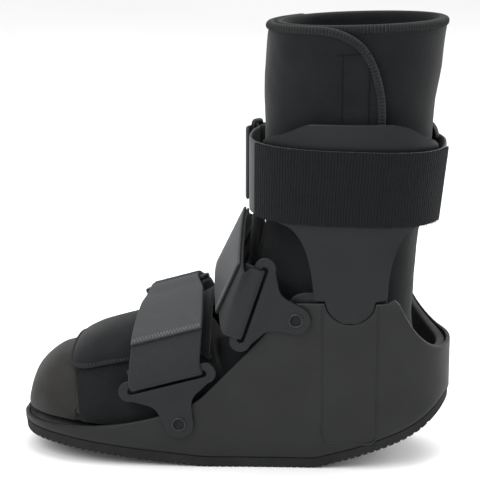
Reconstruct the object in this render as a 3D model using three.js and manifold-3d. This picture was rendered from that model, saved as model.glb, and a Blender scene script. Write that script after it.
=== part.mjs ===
// A short medical walking boot: a rocker sole and moulded shell, two side uprights, a padded liner boot
// with its flaps and toe cap, and three webbing straps with their slotted plates, rivets and rings.
// Millimetres, +Z up. The toe points along -X, the left side faces -Y, and the sole rests on z = 0.
import * as THREE from "three";
import { mergeVertices } from "three/addons/utils/BufferGeometryUtils.js";
import Module from "manifold-3d";

const wasm = await Module();
wasm.setup();

// Overall sizes
const BOOT_LENGTH = 298;
const BOOT_HEIGHT = 300; // top of the liner's cuff at the front
const CUFF_RISE = 4; // how much higher the cuff stands at the back
const SOLE_WIDTH = 102; // shell's outside at the ball of the foot
const SHELL_HEIGHT = 120; // top edge of the shell beside the ankle
const INSTEP_HEIGHT = 86; // liner's top where the foot meets the ankle
const CALF_DEPTH = 124; // liner's cuff, front to back
const CALF_WIDTH = 98; // liner's cuff, side to side
const LEG_CENTRE = 80; // middle of the cuff, behind the middle of the boot

// Walls and layers
const SHELL_WALL = 3;
const SHELL_FLOOR = 2.6;
const CAVITY_FLOOR = 12; // level floor inside the shell
const OUTSOLE_THICKNESS = 4.2;
const OUTSOLE_INSET = 3; // how far the shell's side stands out beyond the outsole
const TREAD_DEPTH = 1.8;
const TREAD_GROOVE = 2.6;
const TREAD_PITCH = 19;
const FOOTBED_THICKNESS = 4;
const HEEL_PAD_THICKNESS = 7;
const HEEL_PAD_REACH = 34; // how far the pad runs forward from the back of the cup
const HEEL_PAD_DROP = 2.5; // the pad's top below the shell's rim
const LINER_WALL = 5.5;
const FLAP_THICKNESS = 5;
const RIM_SHARE = 0.55; // share of a flap's thickness that is left at its rim
const FOREFOOT_FLAP_THICKNESS = 4.4;
const FOREFOOT_FLAP_LIFT = 22; // how far the flap's free rear edge stands above the liner
const FOREFOOT_FLAP_SLIDE = 12; // how far that edge reaches back beyond the section that it starts from
const TONGUE_THICKNESS = 3.4;
const TONGUE_LIFT = 8; // how far the tongue's free top stands in front of the liner
const TOE_CAP_LENGTH = 44;
const UPRIGHT_WALL = 3;
const FLANGE_WALL = 2.5;
const SEAM = 0.35; // gap between touching pieces
const LINER_CLEARANCE = 1; // between the liner and the shell's walls and footbed
const PAD_SEAT = 0.8; // between the liner and a flap that lies on it

// Uprights
const TAB_RADIUS = 17;
const TAB_DEPTH = 15.5;
const TAB_CENTRE = 82;
const NECK_WIDTH = 49;
const SEAT_RISE = 2; // how far the neck's lower edge rises behind the tab
const WING_LENGTH = 118; // front edge to back edge, seen from the side
const WING_CENTRE = 79.5;
const WING_TAPER = 9; // how far the wing's front and back edges draw in towards its lower edge
const WING_BOTTOM = 171;
const WING_SHOULDER = 228; // top of the wing at its front and back edges
const WING_TOP = 240;
const WING_TOP_LENGTH = 50;
const WING_ROUND = 9; // radius of the wing's corners
const WING_FLARE = 19; // how far the neck widens before it meets the wing's lower edge
const WING_SHOULDER_DIP = 6; // drop from the wing's top at which its slope turns into the shoulder
const OVAL_FRONT = 13; // the calf strap's bed, front and back at the wings' lower and upper edges
const OVAL_BACK_LOW = 135.5;
const OVAL_BACK_HIGH = 143;
const OVAL_POWER = 2.7;
const WING_GAP = 2; // between the liner's flap and the wing
const FLANGE_RISE = 5; // how far the inner flange shows above the shell
const FLANGE_FRONT = 42;
const FLANGE_REAR = 24;

// Straps
const STRAP_WIDTH = 50;
const STRAP_THICKNESS = 1.8;
const STRAP_GAP = 0.5; // between a strap's two layers
const STRAP_SEAT = 0.8; // between the calf strap and the uprights
const PINCHED_WIDTH = 40; // a foot strap's width where it passes its ring
const HOOK_TAIL = 10; // strap sewn back behind the bar or rail that it wraps
const CALF_STRAP_CENTRE = 198;
const CALF_STRAP_SLOPE = 0.033; // rise towards the front
const CALF_RING_ANGLE = -24; // degrees round the leg from its front, towards the near side
const CALF_TAIL_ANGLE = 84; // how far the free end folds back over the far side
const CALF_BAND_FRONT = 34; // where the pile band begins and ends, in the same degrees
const CALF_BAND_BACK = 168;

// Strap rings
const RING_BAR = 3.4; // a square bar
const RING_OPENING = 7;
const RING_SIDE_GAP = 1; // ring opening beyond each edge of the strap

// Slotted plates
const PLATE_THICKNESS = 2.6;
const PLATE_SLOT_WIDTH = 4.6;
const PLATE_SLOT_GAP = 2.5; // slot beyond each edge of the strap
const PLATE_RAIL = 5;
const PLATE_WEB = 8; // how much deeper the plate is at its neck than at its ends
const PLATE_LOBE = 6.5; // plate beyond each end of its slot
const PLATE_BOSS = 10; // radius round the rivet
const PLATE_REACH = 30.5; // rivet to slot
const PLATE_SWELL = 0.5; // extra room behind the plate for the shell's curve
const RIVET_HEAD_RADIUS = 5;
const RIVET_SHANK_RADIUS = 2.4;
const RIVET_HEAD_HEIGHT = 1.6;

// Plan and edges of the sole and shell
const TOE = -BOOT_LENGTH / 2;
const HEEL = BOOT_LENGTH / 2;
const TOE_ROUND = 60; // plan rounding at the toe
const HEEL_ROUND = 42;
const ROUND_POWER = 2.3;
const SOLE_CORNER = 6.5; // rounding where the shell's side meets its underside

// Height of the sole's underside, as shares of the toe spring and the heel bevel.
const TOE_SPRING = 15.5;
const HEEL_BEVEL = 46;
const ROCKER = [
  { at: 0.0, toe: 1.0, heel: 0 },
  { at: 0.03, toe: 0.87, heel: 0 },
  { at: 0.1, toe: 0.76, heel: 0 },
  { at: 0.2, toe: 0.54, heel: 0 },
  { at: 0.315, toe: 0.28, heel: 0 },
  { at: 0.4, toe: 0.1, heel: 0 },
  { at: 0.46, toe: 0, heel: 0 },
  { at: 0.68, toe: 0, heel: 0 },
  { at: 0.755, toe: 0, heel: 0.11 },
  { at: 0.822, toe: 0, heel: 0.26 },
  { at: 0.889, toe: 0, heel: 0.45 },
  { at: 0.936, toe: 0, heel: 0.62 },
  { at: 0.97, toe: 0, heel: 0.8 },
  { at: 1.0, toe: 0, heel: 1.0 },
];

// The shell's upper edge, as shares of the boot's length and of the shell's height.
const RIM = [
  { at: 0.0, rise: 0.21 },
  { at: 0.104, rise: 0.218 },
  { at: 0.178, rise: 0.228 },
  { at: 0.252, rise: 0.25 },
  { at: 0.339, rise: 0.3 },
  { at: 0.426, rise: 0.392 },
  { at: 0.472, rise: 0.5 },
  { at: 0.529, rise: 0.647 },
  { at: 0.577, rise: 0.783 },
  { at: 0.614, rise: 0.892 },
  { at: 0.644, rise: 0.975 },
  { at: 0.668, rise: 0.985 },
  { at: 0.8, rise: 0.99 },
  { at: 0.855, rise: 0.992 },
  { at: 0.87, rise: 1.02 },
  { at: 0.879, rise: 1.01 },
  { at: 0.897, rise: 0.925 },
  { at: 0.92, rise: 0.828 },
  { at: 0.954, rise: 0.74 },
  { at: 0.977, rise: 0.71 },
  { at: 1.0, rise: 0.705 },
];

// Half widths of the shell at its foot and at the height of its top edge, as shares of half the sole width.
const PLAN = [
  { at: 0.0, foot: 0.9, top: 0.94 },
  { at: 0.12, foot: 0.95, top: 0.99 },
  { at: 0.25, foot: 1.0, top: 1.04 },
  { at: 0.4, foot: 0.955, top: 1.0 },
  { at: 0.55, foot: 0.88, top: 0.96 },
  { at: 0.7, foot: 0.83, top: 0.97 },
  { at: 0.85, foot: 0.82, top: 0.96 },
  { at: 1.0, foot: 0.82, top: 0.93 },
];

// The foot straps: the rivet in shares of BOOT_LENGTH from the middle and of SHELL_HEIGHT, and the crest
// over the foot in shares of BOOT_LENGTH and of INSTEP_HEIGHT. Then the tilts of the slot and of the crest,
// how the strap bends across, slides along and climbs between them, how far its rear edge leans out on the
// way, where its ring lies along it, and the share of the way back that its free end reaches.
const strapTable = ({ rivet, crest, ...rest }) => ({
  rivet: [rivet[0] * BOOT_LENGTH, rivet[1] * SHELL_HEIGHT],
  crest: [crest[0] * BOOT_LENGTH, crest[1] * INSTEP_HEIGHT],
  ...rest,
});
const FOREFOOT = strapTable({
  rivet: [-0.1107, 0.2667],
  tilt: 15,
  crest: [-0.1376, 1.3546],
  crestTilt: 16,
  bend: 1.1,
  slide: 1.1,
  climb: 1.1,
  lean: 0,
  ring: 0.54,
  tail: 0.66,
});
const INSTEP = strapTable({
  rivet: [0.15436, 0.89167],
  tilt: 71.5,
  crest: [-0.0055, 1.7721],
  crestTilt: 64,
  bend: 0.85,
  slide: 0.5,
  climb: 4,
  lean: 0.5,
  ring: 0.66,
  tail: 0.64,
});

// The liner's foot: back and sole lines as shares of the boot's length, top as a share of the instep height
// above the footbed, and half width as a share of the room inside the shell. Crown and flat are the powers
// of the section's upper and lower curves.
const FOOT_SECTIONS = [
  { top: 0.01, rise: 0.206, sole: 0.012, half: 0.5, crown: 2, flat: 2.4 },
  { top: 0.015, rise: 0.336, sole: 0.02, half: 0.78, crown: 2, flat: 2.9 },
  { top: 0.031, rise: 0.55, sole: 0.038, half: 0.93, crown: 2, flat: 3.3 },
  { top: 0.055, rise: 0.683, sole: 0.068, half: 0.965, crown: 2.1, flat: 3.6 },
  { top: 0.086, rise: 0.775, sole: 0.1, half: 0.98, crown: 2.2, flat: 3.9 },
  { top: 0.13, rise: 0.83, sole: 0.145, half: 0.985, crown: 2.2, flat: 4 },
  { top: 0.19, rise: 0.96, sole: 0.205, half: 0.98, crown: 2.2, flat: 4 },
  { top: 0.275, rise: 1.072, sole: 0.295, half: 0.96, crown: 2.2, flat: 4 },
  { top: 0.36, rise: 1.15, sole: 0.385, half: 0.95, crown: 2.2, flat: 4 },
  { top: 0.42, rise: 1.17, sole: 0.465, half: 0.94, crown: 2.2, flat: 3.8 },
  { top: 0.444, rise: 1.02, sole: 0.53, half: 0.93, crown: 2.2, flat: 3.6 },
  { top: 0.462, rise: 0.87, sole: 0.59, half: 0.92, crown: 2.2, flat: 3.4 },
];

// The liner's ankle: its front line in shares of the boot's length and of the leg's height above the instep,
// its heel line in shares of the boot's length and of the instep height above the footbed.
const ANKLE_SECTIONS = [
  { front: 0.487, climb: 0.014, back: 0.66, lift: 0, half: 0.9 },
  { front: 0.503, climb: 0.084, back: 0.75, lift: 0, half: 0.88 },
  { front: 0.516, climb: 0.13, back: 0.83, lift: 0, half: 0.85 },
  { front: 0.526, climb: 0.168, back: 0.89, lift: 0.12, half: 0.82 },
  { front: 0.536, climb: 0.205, back: 0.926, lift: 0.4, half: 0.8 },
  { front: 0.546, climb: 0.243, back: 0.922, lift: 0.78, half: 0.8 },
];

// The liner's leg: front and back as shares of the calf depth from the leg's centre, heights as shares of
// the leg's height above the instep, and half width as a share of half the calf width.
const LEG_SECTIONS = [
  { front: -0.515, climb: 0.279, back: 0.345, backClimb: 0.055, half: 0.84 },
  { front: -0.487, climb: 0.341, back: 0.352, backClimb: 0.168, half: 0.88 },
  { front: -0.462, climb: 0.411, back: 0.368, backClimb: 0.301, half: 0.93 },
  { front: -0.44, climb: 0.4925, back: 0.395, backClimb: 0.433, half: 0.96 },
  { front: -0.436, climb: 0.606, back: 0.42, backClimb: 0.584, half: 0.985 },
  { front: -0.44, climb: 0.804, back: 0.465, backClimb: 0.811, half: 1.0 },
  { front: -0.424, climb: 1.0, back: 0.505, backClimb: 1.0, half: 0.985 },
];
const LEG_CROWN = 2.1;

const moulded = new THREE.MeshStandardMaterial({ color: 0x2b2d2e, roughness: 0.55, metalness: 0 });
const rubber = new THREE.MeshStandardMaterial({ color: 0x1d1d1d, roughness: 0.85, metalness: 0 });
const foam = new THREE.MeshStandardMaterial({ color: 0x3a3b3b, roughness: 0.95, metalness: 0 });
const liner = new THREE.MeshStandardMaterial({ color: 0x1b1d1e, roughness: 1, metalness: 0 });
const toeCloth = new THREE.MeshStandardMaterial({ color: 0x302f2d, roughness: 0.9, metalness: 0 });
const webbing = new THREE.MeshStandardMaterial({ color: 0x2a2c2e, roughness: 0.8, metalness: 0 });
const pile = new THREE.MeshStandardMaterial({ color: 0x16181a, roughness: 1, metalness: 0 });
const metal = new THREE.MeshStandardMaterial({ color: 0x3c3e3f, roughness: 0.4, metalness: 0.6 });

const lerp = THREE.MathUtils.lerp;
const clamp = THREE.MathUtils.clamp;
const smoothstep = THREE.MathUtils.smoothstep;
const degrees = THREE.MathUtils.degToRad;

// Reads one column of a table at a place between its rows, with a curve that never overshoots them.
function read(table, column, at, key = "at") {
  const last = table.length - 1;
  if (at <= table[0][key]) return table[0][column];
  if (at >= table[last][key]) return table[last][column];
  let i = 0;
  while (table[i + 1][key] < at) i += 1;
  const step = (k) => table[k + 1][key] - table[k][key];
  const slope = (k) => (table[k + 1][column] - table[k][column]) / step(k);
  const tangent = (k) => {
    if (k === 0) return slope(0);
    if (k === last) return slope(last - 1);
    const before = slope(k - 1);
    const after = slope(k);
    return before * after <= 0 ? 0 : (2 * before * after) / (before + after);
  };
  const h = step(i);
  const t = (at - table[i][key]) / h;
  const a = (1 + 2 * t) * (1 - t) ** 2;
  const b = t * (1 - t) ** 2;
  const c = t * t * (3 - 2 * t);
  const d = t * t * (t - 1);
  return a * table[i][column] + b * h * tangent(i) + c * table[i + 1][column] + d * h * tangent(i + 1);
}

const share = (x) => (x - TOE) / BOOT_LENGTH;
const place = (s) => TOE + s * BOOT_LENGTH;
const signedPower = (v, power) => Math.sign(v) * Math.abs(v) ** power;

// Surfaces that the pieces share

function rocker(x) {
  const s = share(x);
  return TOE_SPRING * read(ROCKER, "toe", s) + HEEL_BEVEL * read(ROCKER, "heel", s);
}

const shellUnderside = (x) => rocker(x) + OUTSOLE_THICKNESS + SEAM;
const cavityFloor = (x) => Math.max(CAVITY_FLOOR, shellUnderside(x) + SHELL_FLOOR);
const linerFloor = (x) => cavityFloor(x) + SEAM + FOOTBED_THICKNESS + LINER_CLEARANCE;
const rimHeight = (x) => SHELL_HEIGHT * read(RIM, "rise", share(x));

// How much of the half width is left where the plan rounds off at the toe and the heel.
function endRounding(x, inset) {
  const ends = [
    { gap: x - TOE - inset, radius: TOE_ROUND - inset },
    { gap: HEEL - inset - x, radius: HEEL_ROUND - inset },
  ];
  let left = 1;
  for (const { gap, radius } of ends) {
    const inside = clamp(1 - gap / radius, 0, 1);
    left *= (1 - inside ** ROUND_POWER) ** (1 / ROUND_POWER);
  }
  return left;
}

// Half width of the shell's outside at x and z, drawn in by an inset.
function shellHalf(x, z, inset = 0) {
  const s = share(x);
  const level = clamp(z / SHELL_HEIGHT, 0, 1.3);
  const half = (SOLE_WIDTH / 2) * lerp(read(PLAN, "foot", s), read(PLAN, "top", s), level);
  return Math.max((half - inset) * endRounding(x, inset), 0.4);
}

// Solids

function fromGeometry(geometry) {
  const bare = geometry.clone();
  bare.deleteAttribute("normal");
  bare.deleteAttribute("uv");
  const merged = mergeVertices(bare, 1e-4);
  return new wasm.Manifold(
    new wasm.Mesh({
      numProp: 3,
      vertProperties: new Float32Array(merged.attributes.position.array),
      triVerts: new Uint32Array(merged.index.array),
    }),
  );
}

// A closed solid through rings of points. Its ends are fans over a convex ring, or strips over the ring of a
// sheet, which runs along one face of the sheet and back along the other.
function loft(rings, capFaces = fan) {
  const count = rings[0].length;
  const faces = [];
  for (let r = 0; r < rings.length - 1; r += 1) {
    for (let k = 0; k < count; k += 1) {
      const a = r * count + k;
      const b = r * count + ((k + 1) % count);
      faces.push([a, b, b + count], [a, b + count, a + count]);
    }
  }
  const last = (rings.length - 1) * count;
  for (const [i, j, k] of capFaces(count)) {
    faces.push([k, j, i], [last + i, last + j, last + k]);
  }
  return fromFaces(rings.flat(), faces);
}

function fan(count) {
  return Array.from({ length: count - 2 }, (_, k) => [0, k + 1, k + 2]);
}

function strip(count) {
  const quads = Array.from({ length: count / 2 - 1 }, (_, k) => [k, k + 1, count - 2 - k, count - 1 - k]);
  return quads.flatMap(([a, b, c, d]) => [[a, b, c], [a, c, d]]);
}

function fromFaces(points, faces) {
  const volume = faces.reduce((sum, [a, b, c]) => {
    const cross = new THREE.Vector3().crossVectors(points[b], points[c]);
    return sum + points[a].dot(cross);
  }, 0);
  const turned = volume < 0 ? faces.map(([a, b, c]) => [a, c, b]) : faces;
  return new wasm.Manifold(
    new wasm.Mesh({
      numProp: 3,
      vertProperties: new Float32Array(points.flatMap((p) => [p.x, p.y, p.z])),
      triVerts: new Uint32Array(turned.flat()),
    }),
  );
}

// A shape drawn in x and z, pushed through from one y to another.
function prism(shape, yFrom, yTo) {
  const geometry = new THREE.ExtrudeGeometry(shape, {
    depth: yTo - yFrom,
    bevelEnabled: false,
    curveSegments: 7,
  });
  geometry.rotateX(Math.PI / 2);
  geometry.translate(0, yTo, 0);
  return fromGeometry(geometry);
}

function block(xFrom, xTo, yFrom, yTo, zFrom, zTo) {
  const geometry = new THREE.BoxGeometry(xTo - xFrom, yTo - yFrom, zTo - zFrom);
  geometry.translate((xFrom + xTo) / 2, (yFrom + yTo) / 2, (zFrom + zTo) / 2);
  return fromGeometry(geometry);
}

const boot = new THREE.Group();

function add(name, solid, material) {
  const mesh = solid.getMesh();
  const geometry = new THREE.BufferGeometry();
  const stride = mesh.numProp;
  const places = new Float32Array((mesh.vertProperties.length / stride) * 3);
  for (let i = 0; i < places.length / 3; i += 1) {
    places.set(mesh.vertProperties.subarray(i * stride, i * stride + 3), i * 3);
  }
  geometry.setAttribute("position", new THREE.BufferAttribute(places, 3));
  geometry.setIndex(new THREE.BufferAttribute(mesh.triVerts, 1));
  geometry.computeVertexNormals();
  const piece = new THREE.Mesh(geometry, material);
  piece.name = name;
  boot.add(piece);
}

// Stations along the boot, closer together where the plan rounds off.
function stations(from, to, toeRadius, heelRadius, endSteps, middleSteps) {
  const turn = (i) => 1 - Math.cos((Math.PI / 2) * (i / endSteps));
  const toe = rowSteps(0, endSteps, endSteps).map((i) => from + toeRadius * turn(i));
  const middle = rowSteps(from + toeRadius, to - heelRadius, middleSteps).slice(1, -1);
  const heel = rowSteps(endSteps, 0, endSteps).map((i) => to - heelRadius * turn(i));
  return [...toe, ...middle, ...heel];
}

// Shell, outsole, footbed and heel pad

// A trough's solid between a floor line and a top line, as wide as the shell less an inset.
function trough(inset, floorAt, topAt, corner, endSteps = 7, middleSteps = 13) {
  const places = stations(
    TOE + inset,
    HEEL - inset,
    (TOE_ROUND - inset) * 0.9,
    (HEEL_ROUND - inset) * 0.9,
    endSteps,
    middleSteps,
  );
  const rings = places.map((x) => {
    const floor = floorAt(x);
    const top = Math.max(topAt(x), floor + 1);
    const turn = Math.min(corner, (top - floor) * 0.95, shellHalf(x, floor, inset) * 0.6);
    const foot = shellHalf(x, floor + turn, inset);
    const side = [
      [shellHalf(x, top, inset), top],
      [foot, floor + turn],
      [foot - turn * 0.3, floor + turn * 0.3],
      [foot - turn, floor],
    ];
    return [
      ...side.map(([y, z]) => new THREE.Vector3(x, -y, z)),
      ...side.reverse().map(([y, z]) => new THREE.Vector3(x, y, z)),
    ];
  });
  return loft(rings);
}

// The rounded tab at an upright's foot, grown by a clearance.
function tabShape(clearance, top) {
  const shape = new THREE.Shape();
  const radius = TAB_RADIUS + clearance;
  const centreZ = SHELL_HEIGHT - TAB_DEPTH + TAB_RADIUS;
  shape.moveTo(TAB_CENTRE - radius, top);
  shape.lineTo(TAB_CENTRE - radius, centreZ);
  shape.absarc(TAB_CENTRE, centreZ, radius, Math.PI, 2 * Math.PI, false);
  shape.lineTo(TAB_CENTRE + radius, top);
  shape.closePath();
  return shape;
}

function buildShell() {
  const outside = trough(0, shellUnderside, rimHeight, SOLE_CORNER);
  const above = () => SHELL_HEIGHT * 1.3;
  const cavity = trough(SHELL_WALL, cavityFloor, above, SOLE_CORNER - SHELL_WALL);
  const notch = prism(tabShape(SEAM, SHELL_HEIGHT * 1.2), -SOLE_WIDTH, SOLE_WIDTH);
  let shell = outside.subtract(cavity).subtract(notch);
  for (const strap of [FOREFOOT, INSTEP]) {
    const hole = roundPin(strap, RIVET_SHANK_RADIUS + SEAM, SOLE_WIDTH, 0);
    shell = shell.subtract(hole).subtract(hole.mirror([0, 1, 0]));
  }
  add("shell", shell, moulded);
}

function buildOutsole() {
  let sole = trough(OUTSOLE_INSET, rocker, (x) => rocker(x) + OUTSOLE_THICKNESS, 1.2);
  const grooves = Math.floor((BOOT_LENGTH * 0.5 - TREAD_PITCH) / TREAD_PITCH);
  for (let i = -grooves; i <= grooves; i += 1) {
    const x = (i + 0.5) * TREAD_PITCH;
    if (x < TOE + TREAD_PITCH || x > HEEL - TREAD_PITCH) continue;
    const slope = Math.atan2(rocker(x + 1) - rocker(x - 1), 2);
    const geometry = new THREE.BoxGeometry(TREAD_GROOVE, SOLE_WIDTH * 1.2, 2 * TREAD_DEPTH);
    geometry.rotateY(-slope);
    geometry.translate(x, 0, rocker(x));
    sole = sole.subtract(fromGeometry(geometry));
  }
  add("outsole", sole, rubber);
}

function buildFootbed() {
  const inset = SHELL_WALL + SEAM;
  const under = (x) => cavityFloor(x) + SEAM;
  const over = (x) => under(x) + FOOTBED_THICKNESS;
  add("footbed", trough(inset, under, over, SOLE_CORNER - SHELL_WALL), foam);
}

// The C-shaped foam that stands on the footbed and lines the heel cup.
function buildHeelPad() {
  const inset = SHELL_WALL + SEAM;
  const floor = (x) => cavityFloor(x) + FOOTBED_THICKNESS + 2 * SEAM;
  const top = (x) => rimHeight(x) - HEEL_PAD_DROP;
  const outside = trough(inset, floor, top, 1);
  const inside = trough(inset + HEEL_PAD_THICKNESS, () => 0, () => SHELL_HEIGHT * 1.3, 1);
  const rear = block(HEEL - HEEL_PAD_REACH, HEEL + 1, -SOLE_WIDTH, SOLE_WIDTH, 0, SHELL_HEIGHT);
  add("heel_pad", outside.subtract(inside).intersect(rear), foam);
}

// Liner

// All of the liner's sections in the frame of the boot, from the toe to the cuff.
function linerRows() {
  const legHeight = BOOT_HEIGHT - INSTEP_HEIGHT;
  const footRoom = (x, z) => shellHalf(x, z, 0) - SHELL_WALL - LINER_CLEARANCE;
  const foot = FOOT_SECTIONS.map((row) => {
    const soleX = place(row.sole);
    const floor = linerFloor(soleX);
    const tip = floor + 3;
    return {
      dorsal: [place(row.top), Math.max(lerp(linerFloor(0), INSTEP_HEIGHT, row.rise), tip)],
      plantar: [soleX, floor],
      half: row.half * footRoomAt(row, footRoom),
      crown: row.crown,
      flat: row.flat,
      shift: 0,
    };
  });
  const ankle = ANKLE_SECTIONS.map((row) => {
    const backX = place(row.back);
    return {
      dorsal: [place(row.front), INSTEP_HEIGHT + row.climb * legHeight],
      plantar: [backX, Math.max(linerFloor(backX), lerp(linerFloor(0), INSTEP_HEIGHT, row.lift))],
      half: row.half * footRoom(place((row.front + row.back) / 2), SHELL_HEIGHT * 0.5),
      crown: 2.2,
      flat: 2.6,
      shift: 0,
    };
  });
  const leg = LEG_SECTIONS.map((row) => {
    const settle = smoothstep(row.climb, 0.3, 0.6);
    return {
      dorsal: [LEG_CENTRE + row.front * CALF_DEPTH, INSTEP_HEIGHT + row.climb * legHeight],
      plantar: [
        LEG_CENTRE + row.back * CALF_DEPTH,
        INSTEP_HEIGHT + row.backClimb * (legHeight + CUFF_RISE),
      ],
      half: (row.half * CALF_WIDTH) / 2,
      crown: LEG_CROWN,
      flat: LEG_CROWN,
      shift: (settle * (FLAP_THICKNESS + PAD_SEAT)) / 2,
    };
  });
  return [...foot, ...ankle, ...leg];
}

// Room for the foot beside the shell, where the end of the shell rounds off.
function footRoomAt(row, footRoom) {
  const x = place(row.sole);
  return footRoom(Math.max(x, TOE + TOE_ROUND), linerFloor(x)) * Math.max(endRounding(x, SHELL_WALL), 0.25);
}

const LINER_ROWS = linerRows();
const LAST_ROW = LINER_ROWS.length - 1;

// The liner's section at a row number that may lie between two rows.
function linerSection(at) {
  const curve = (get) => {
    const i = clamp(Math.floor(at), 0, LAST_ROW - 1);
    const t = at - i;
    const p = [i - 1, i, i + 1, i + 2].map((k) => get(LINER_ROWS[clamp(k, 0, LAST_ROW)]));
    const start = (p[2] - p[0]) / 2;
    const end = (p[3] - p[1]) / 2;
    const a = 2 * t ** 3 - 3 * t ** 2 + 1;
    const b = t ** 3 - 2 * t ** 2 + t;
    const c = -2 * t ** 3 + 3 * t ** 2;
    const d = t ** 3 - t ** 2;
    return a * p[1] + b * start + c * p[2] + d * end;
  };
  return {
    dorsal: new THREE.Vector3(curve((r) => r.dorsal[0]), 0, curve((r) => r.dorsal[1])),
    plantar: new THREE.Vector3(curve((r) => r.plantar[0]), 0, curve((r) => r.plantar[1])),
    half: curve((r) => r.half),
    crown: curve((r) => r.crown),
    flat: curve((r) => r.flat),
    shift: curve((r) => r.shift),
  };
}

// A point of the liner's surface at a section and an angle from the top of the foot, moved out by an offset.
function linerPoint(at, angle, offset) {
  const s = linerSection(at);
  const centre = s.dorsal.clone().add(s.plantar).multiplyScalar(0.5);
  const arm = s.dorsal.clone().sub(centre);
  arm.setLength(Math.max(arm.length() + offset, 0.6));
  const half = Math.max(s.half + offset, 0.6);
  const c = Math.cos(angle);
  const power = 2 / (c >= 0 ? s.crown : s.flat);
  const point = centre.addScaledVector(arm, signedPower(c, power));
  point.y = s.shift + half * signedPower(Math.sin(angle), power);
  return point;
}

function linerRing(at, offset, sides = 18) {
  return Array.from({ length: sides }, (_, k) => linerPoint(at, (2 * Math.PI * k) / sides, offset));
}

function rowSteps(from, to, steps) {
  return Array.from({ length: steps + 1 }, (_, i) => lerp(from, to, i / steps));
}

function buildLiner() {
  const outside = loft(rowSteps(0, LAST_ROW, 28).map((at) => linerRing(at, 0)));
  const toeGap = 3; // rows over which the hollow draws back from the toe
  const inner = rowSteps(0, LAST_ROW, 18).map((at) => {
    const back = LINER_WALL * clamp(1 - at / toeGap, 0, 1);
    return linerRing(at, -LINER_WALL, 14).map((p) => p.setX(p.x + back));
  });
  const mouth = inner[inner.length - 1].map((p) => p.clone().setZ(p.z + 2 * LINER_WALL));
  const hollow = loft([...inner, mouth]);
  const sock = outside.subtract(hollow);
  const seamX = TOE + TOE_CAP_LENGTH;
  const front = block(TOE - 1, seamX - SEAM / 2, -SOLE_WIDTH, SOLE_WIDTH, 0, SHELL_HEIGHT);
  const rest = block(seamX + SEAM / 2, HEEL + 20, -SOLE_WIDTH, SOLE_WIDTH, 0, BOOT_HEIGHT * 1.2);
  add("liner_boot", sock.intersect(rest), liner);
  add("toe_cap", sock.intersect(front), toeCloth);
}

// A padded sheet over the liner between two angles, with its rim thinned and its surface lifted off the liner
// and slid along the boot.
function paddedSheet(rows, thickness, angles, lift, steps, slide = () => 0) {
  const rings = rows.map((at, i) => {
    const full = i === 0 || i === rows.length - 1 ? thickness * RIM_SHARE : thickness;
    const [from, to] = angles(at);
    const outer = [];
    const inner = [];
    for (let k = 0; k <= steps; k += 1) {
      const angle = lerp(from, to, k / steps);
      const rim = k === 0 || k === steps ? RIM_SHARE : 1;
      const off = PAD_SEAT + lift(at, k / steps);
      const along = new THREE.Vector3(slide(at, k / steps), 0, 0);
      outer.push(linerPoint(at, angle, off + full * rim).add(along));
      inner.push(linerPoint(at, angle, off).add(along));
    }
    return [...outer, ...inner.reverse()];
  });
  return loft(rings, strip);
}

// Rows of the liner where the flaps begin and end, and the angles that they span, in degrees.
const FOREFOOT_FLAP_SPAN = [-62, 54];
const TONGUE_SPAN = [-24, 24];
const TONGUE_RISE = [0.5, 1.2]; // shares of the tongue between which its top leaves the liner
const CUFF_FLAP_SPAN = [-111, 48];
const CUFF_FLAP_TOP = -62; // where the cuff flap's rear edge ends on the rim
const CUFF_FLAP_CORNER = 0.55; // share of its height where that edge starts to curve in
const FOREFOOT_FLAP_ROWS = [5.0, 9.6];
const TONGUE_ROWS = [12.3, 19.75];
const CUFF_FLAP_ROWS = [20.5, LAST_ROW];
const FLAP_STEPS = 10;
const TONGUE_STEPS = 4;

function buildFlaps() {
  const along = ([from, to], at) => (at - from) / (to - from);
  const forefoot = paddedSheet(
    rowSteps(...FOREFOOT_FLAP_ROWS, FLAP_STEPS),
    FOREFOOT_FLAP_THICKNESS,
    () => FOREFOOT_FLAP_SPAN.map(degrees),
    (at, across) => FOREFOOT_FLAP_LIFT * along(FOREFOOT_FLAP_ROWS, at) ** 5 * Math.sin(Math.PI * across),
    FLAP_STEPS,
    (at, across) => FOREFOOT_FLAP_SLIDE * along(FOREFOOT_FLAP_ROWS, at) ** 3 * Math.sin(Math.PI * across),
  );
  add("forefoot_flap", forefoot, liner);
  const tongue = paddedSheet(
    rowSteps(...TONGUE_ROWS, FLAP_STEPS),
    TONGUE_THICKNESS,
    () => TONGUE_SPAN.map(degrees),
    (at) => TONGUE_LIFT * smoothstep(along(TONGUE_ROWS, at), ...TONGUE_RISE),
    TONGUE_STEPS,
  );
  add("tongue", tongue, liner);
  const [rear, front] = CUFF_FLAP_SPAN;
  const sweep = (at) => {
    const up = clamp((along(CUFF_FLAP_ROWS, at) - CUFF_FLAP_CORNER) / (1 - CUFF_FLAP_CORNER), 0, 1);
    return [degrees(lerp(CUFF_FLAP_TOP, rear, Math.sqrt(1 - up * up))), degrees(front)];
  };
  const shares = rowSteps(0, Math.PI / 2, FLAP_STEPS).map(Math.sin);
  const cuffRows = shares.map((share) => lerp(...CUFF_FLAP_ROWS, share));
  add("cuff_flap", paddedSheet(cuffRows, FLAP_THICKNESS, sweep, () => 0, FLAP_STEPS), liner);
}

// Uprights

// The liner's front, back and half width at a height on the leg.
function legAt(z) {
  const at = (height, key) => {
    let low = FOOT_SECTIONS.length;
    let high = LAST_ROW;
    for (let i = 0; i < 24; i += 1) {
      const middle = (low + high) / 2;
      if (linerSection(middle)[key].z < height) low = middle;
      else high = middle;
    }
    return linerSection((low + high) / 2);
  };
  const front = at(z, "dorsal");
  const back = at(z, "plantar");
  return { front: front.dorsal.x, back: back.plantar.x, half: (front.half + back.half) / 2 };
}

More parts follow.
